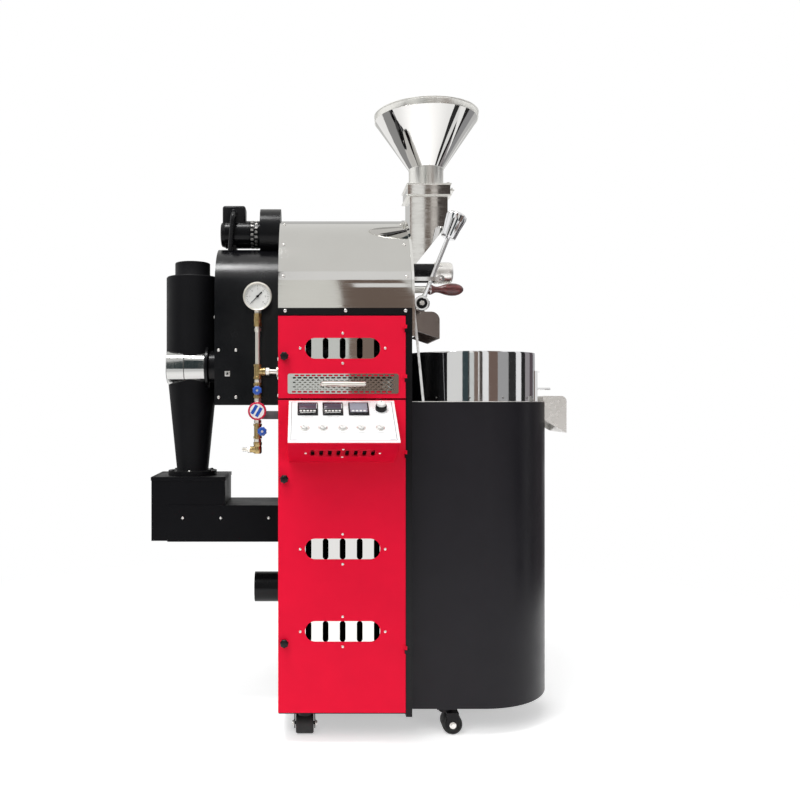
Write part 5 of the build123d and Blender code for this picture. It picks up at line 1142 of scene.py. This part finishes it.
# boards that only the polished metal sees: place, facing, width, height, and the colours of their upright
# stripes, with the place where one gives way to the next in between
cards = {
    "front": ((-1.0, -4.6, 2.2), (0, 1, 0), 14, 4.4,
              [(0.012, 0.01, 0.01), -4.6, (0.74, 0.74, 0.72), -0.4, (0.92, 0.92, 0.88), 0.19, (0.20, 0.15, 0.125),
               0.75, (0.85, 0.85, 0.83), 0.86, (0.17, 0.14, 0.12), 0.95, (0.60, 0.57, 0.54), 1.02,
               (0.07, 0.06, 0.055), 1.4, (0.86, 0.86, 0.85), 2.3, (0.17, 0.12, 0.10), 5.2, 0.40]),
    "window": ((0.5, -4.5, 3.6), (0, 1, 0), 0.46, 0.5, [1]),
    "ceiling": ((0.3, 0.6, 5.2), (0, 0, -1), 9, 9, [(0.90, 0.90, 0.88)]),
    "behind": ((0.3, 4.6, 3.4), (0, -1, 0), 9, 3.6, [(0.60, 0.60, 0.59)]),
    "sill": ((-0.1, -4.55, 0.7), (0, 1, 0), 0.6, 1.4, [(0.62, 0.64, 0.62)]),
    "flank": ((-1.6, 2.4, 0.45), (1, 0, 0), 4.2, 0.9, [0.30]),
    "post": ((-0.9, -4.5, 3.5), (0, 1, 0), 1.0, 7, [(0.04, 0.06, 0.065), -0.6, 0.05]),
    "right": ((3.6, 0, 1.2), (-1, 0, 0), 8, 2.4,
              [0.36, -1.9, 0.03, -0.75, 0.85, 0.1, 0.02, 0.85, (0.30, 0.30, 0.31), 2.2, 0.55]),
    "near": ((1.0, 0.25, 0.65), (-1, 0, 0), 1.3, 0.95,
             [0.03, -0.22, 0.85, -0.065, 0.02, 0.06, (0.30, 0.28, 0.29), 0.25, (0.10, 0.08, 0.09), 0.5,
              (0.42, 0.42, 0.43)]),
    "left": ((-3.4, -1.4, 1.0), (1, 0, 0), 1.6, 2.0, [0.10, -1.4, (0.16, 0.16, 0.17)]),
}
camera = {"lens": 36, "sensor": 36, "foot": (66, -2170, 822), "shiftX": 0.118, "shiftY": 0.0025, "clipEnd": 50}


def opaque(tone):
    return (*tone, 1) if isinstance(tone, tuple) else (tone, tone, tone, 1)


def makeLamp(name, place, size, power, shown):
    freshStart()
    bpy.ops.object.light_add(type="AREA", location=place)
    light = bpy.context.object
    light.name = name + "Lamp"
    light.data.shape = "RECTANGLE"
    light.data.size, light.data.size_y = size
    light.data.energy = power
    light.visible_glossy = shown
    if name != "top":  # the top lamp is a strip that looks straight down
        light.rotation_euler = (Vector(place) - (cadLow + cadHigh) / 2).to_track_quat("Z", "Y").to_euler()


def seenRays(tree):
    path = addNode(tree, "LightPath", {})
    either = mathNode(tree, "MAXIMUM", path["Is Camera Ray"], path["Is Glossy Ray"])
    return mathNode(tree, "MAXIMUM", either, path["Is Transmission Ray"])


def floorFinish(name):
    tree, shader = newFinish(name)
    near, away = studio["shadowReach"]
    tone = placeGroup(tree, "toneDrift", Color=opaque(studio["floorTone"]), Scale=3, Amount=0.02)
    coords = addNode(tree, "TexCoord", {})
    reach = addNode(tree, "VectorMath", {0: coords["Object"]}, operation="LENGTH")
    far = addNode(tree, "MapRange", {"Value": reach["Value"], "From Min": near, "From Max": away},
                  interpolation_type="SMOOTHSTEP")["Result"]
    glow = addNode(tree, "MapRange", {"Value": far, "To Min": studio["floorGlow"]})["Result"]
    fade = addNode(tree, "Mix", {"Factor": far, "A": tone["Color"], "B": opaque(0)}, data_type="RGBA")
    feed(shader, {"Base Color": fade["Result"], "Roughness": 0.7, "Specular IOR Level": 0,
                  "Emission Color": opaque(1), "Emission Strength": mathNode(tree, "MULTIPLY", glow, seenRays(tree))})


def makeBoard(name, place, facing, wide, stripes):
    tree, shader = newFinish(name)
    coords = addNode(tree, "TexCoord", {})
    split = addNode(tree, "SeparateXYZ", {0: coords["Generated"]})
    shades = feed(tree.nodes.new("ShaderNodeValToRGB"), {"Fac": split["X"]})
    steps, colors, ends = shades.color_ramp.elements, stripes[::2], stripes[1::2]
    shades.color_ramp.interpolation = "CONSTANT"
    centre = place[1] if facing[0] else place[0]
    steps[1].color = steps[0].color = opaque(colors[-1])
    for end, color in zip(ends, colors):  # the board's own x runs the other way
        steps.new(0.5 - (end - centre) / wide).color = opaque(color)
    feed(shader, {"Base Color": opaque(0), "Specular IOR Level": 0, "Emission Color": shades.outputs["Color"],
                  "Emission Strength": 1})


def makeCard(name, place, facing, wide, high, stripes):
    freshStart()
    bpy.ops.mesh.primitive_plane_add(size=1, location=place)
    board = bpy.context.object
    board.name = name + "Card"
    board.scale = (wide, high, 1)
    board.rotation_euler = Vector(facing).to_track_quat("Z", "Y").to_euler()
    makeBoard(name + "Board", place, facing, wide, stripes)
    dressed(board, name + "Board")
    board.visible_camera = False
    board.visible_diffuse = False
    board.visible_shadow = False


def makeStudio():
    freshStart()
    bpy.ops.mesh.primitive_plane_add(size=studio["floorSize"], location=(0, 0, 0))
    floor = bpy.context.object
    floor.name = "floor"
    floorFinish("paleFloor")
    dressed(floor, "paleFloor")
    for name, card in cards.items():
        makeCard(name, *card)
    for name, lamp in lamps.items():
        makeLamp(name, *lamp)
    world = bpy.data.worlds.new("studioWorld")
    bpy.context.scene.world = world
    world.use_nodes = True
    tree = world.node_tree
    level = addNode(tree, "MapRange", {"Value": seenRays(tree), "To Min": studio["skyLight"], "To Max": 1})
    feed(tree.nodes["Background"], {"Color": opaque(1), "Strength": level["Result"]})


def makeCamera():
    data = bpy.data.cameras.new("photoCamera")
    eye = bpy.data.objects.new("photoCamera", data)
    bpy.context.scene.collection.objects.link(eye)
    eye.location = spot(*camera["foot"])
    eye.rotation_euler = (math.radians(90), 0, 0)
    data.lens, data.sensor_width = camera["lens"], camera["sensor"]
    data.shift_x, data.shift_y = camera["shiftX"], camera["shiftY"]
    data.clip_end = camera["clipEnd"]
    bpy.context.scene.camera = eye


makeStudio()
makeCamera()
bpy.context.scene.view_settings.view_transform = "Standard"
print("studio ready")
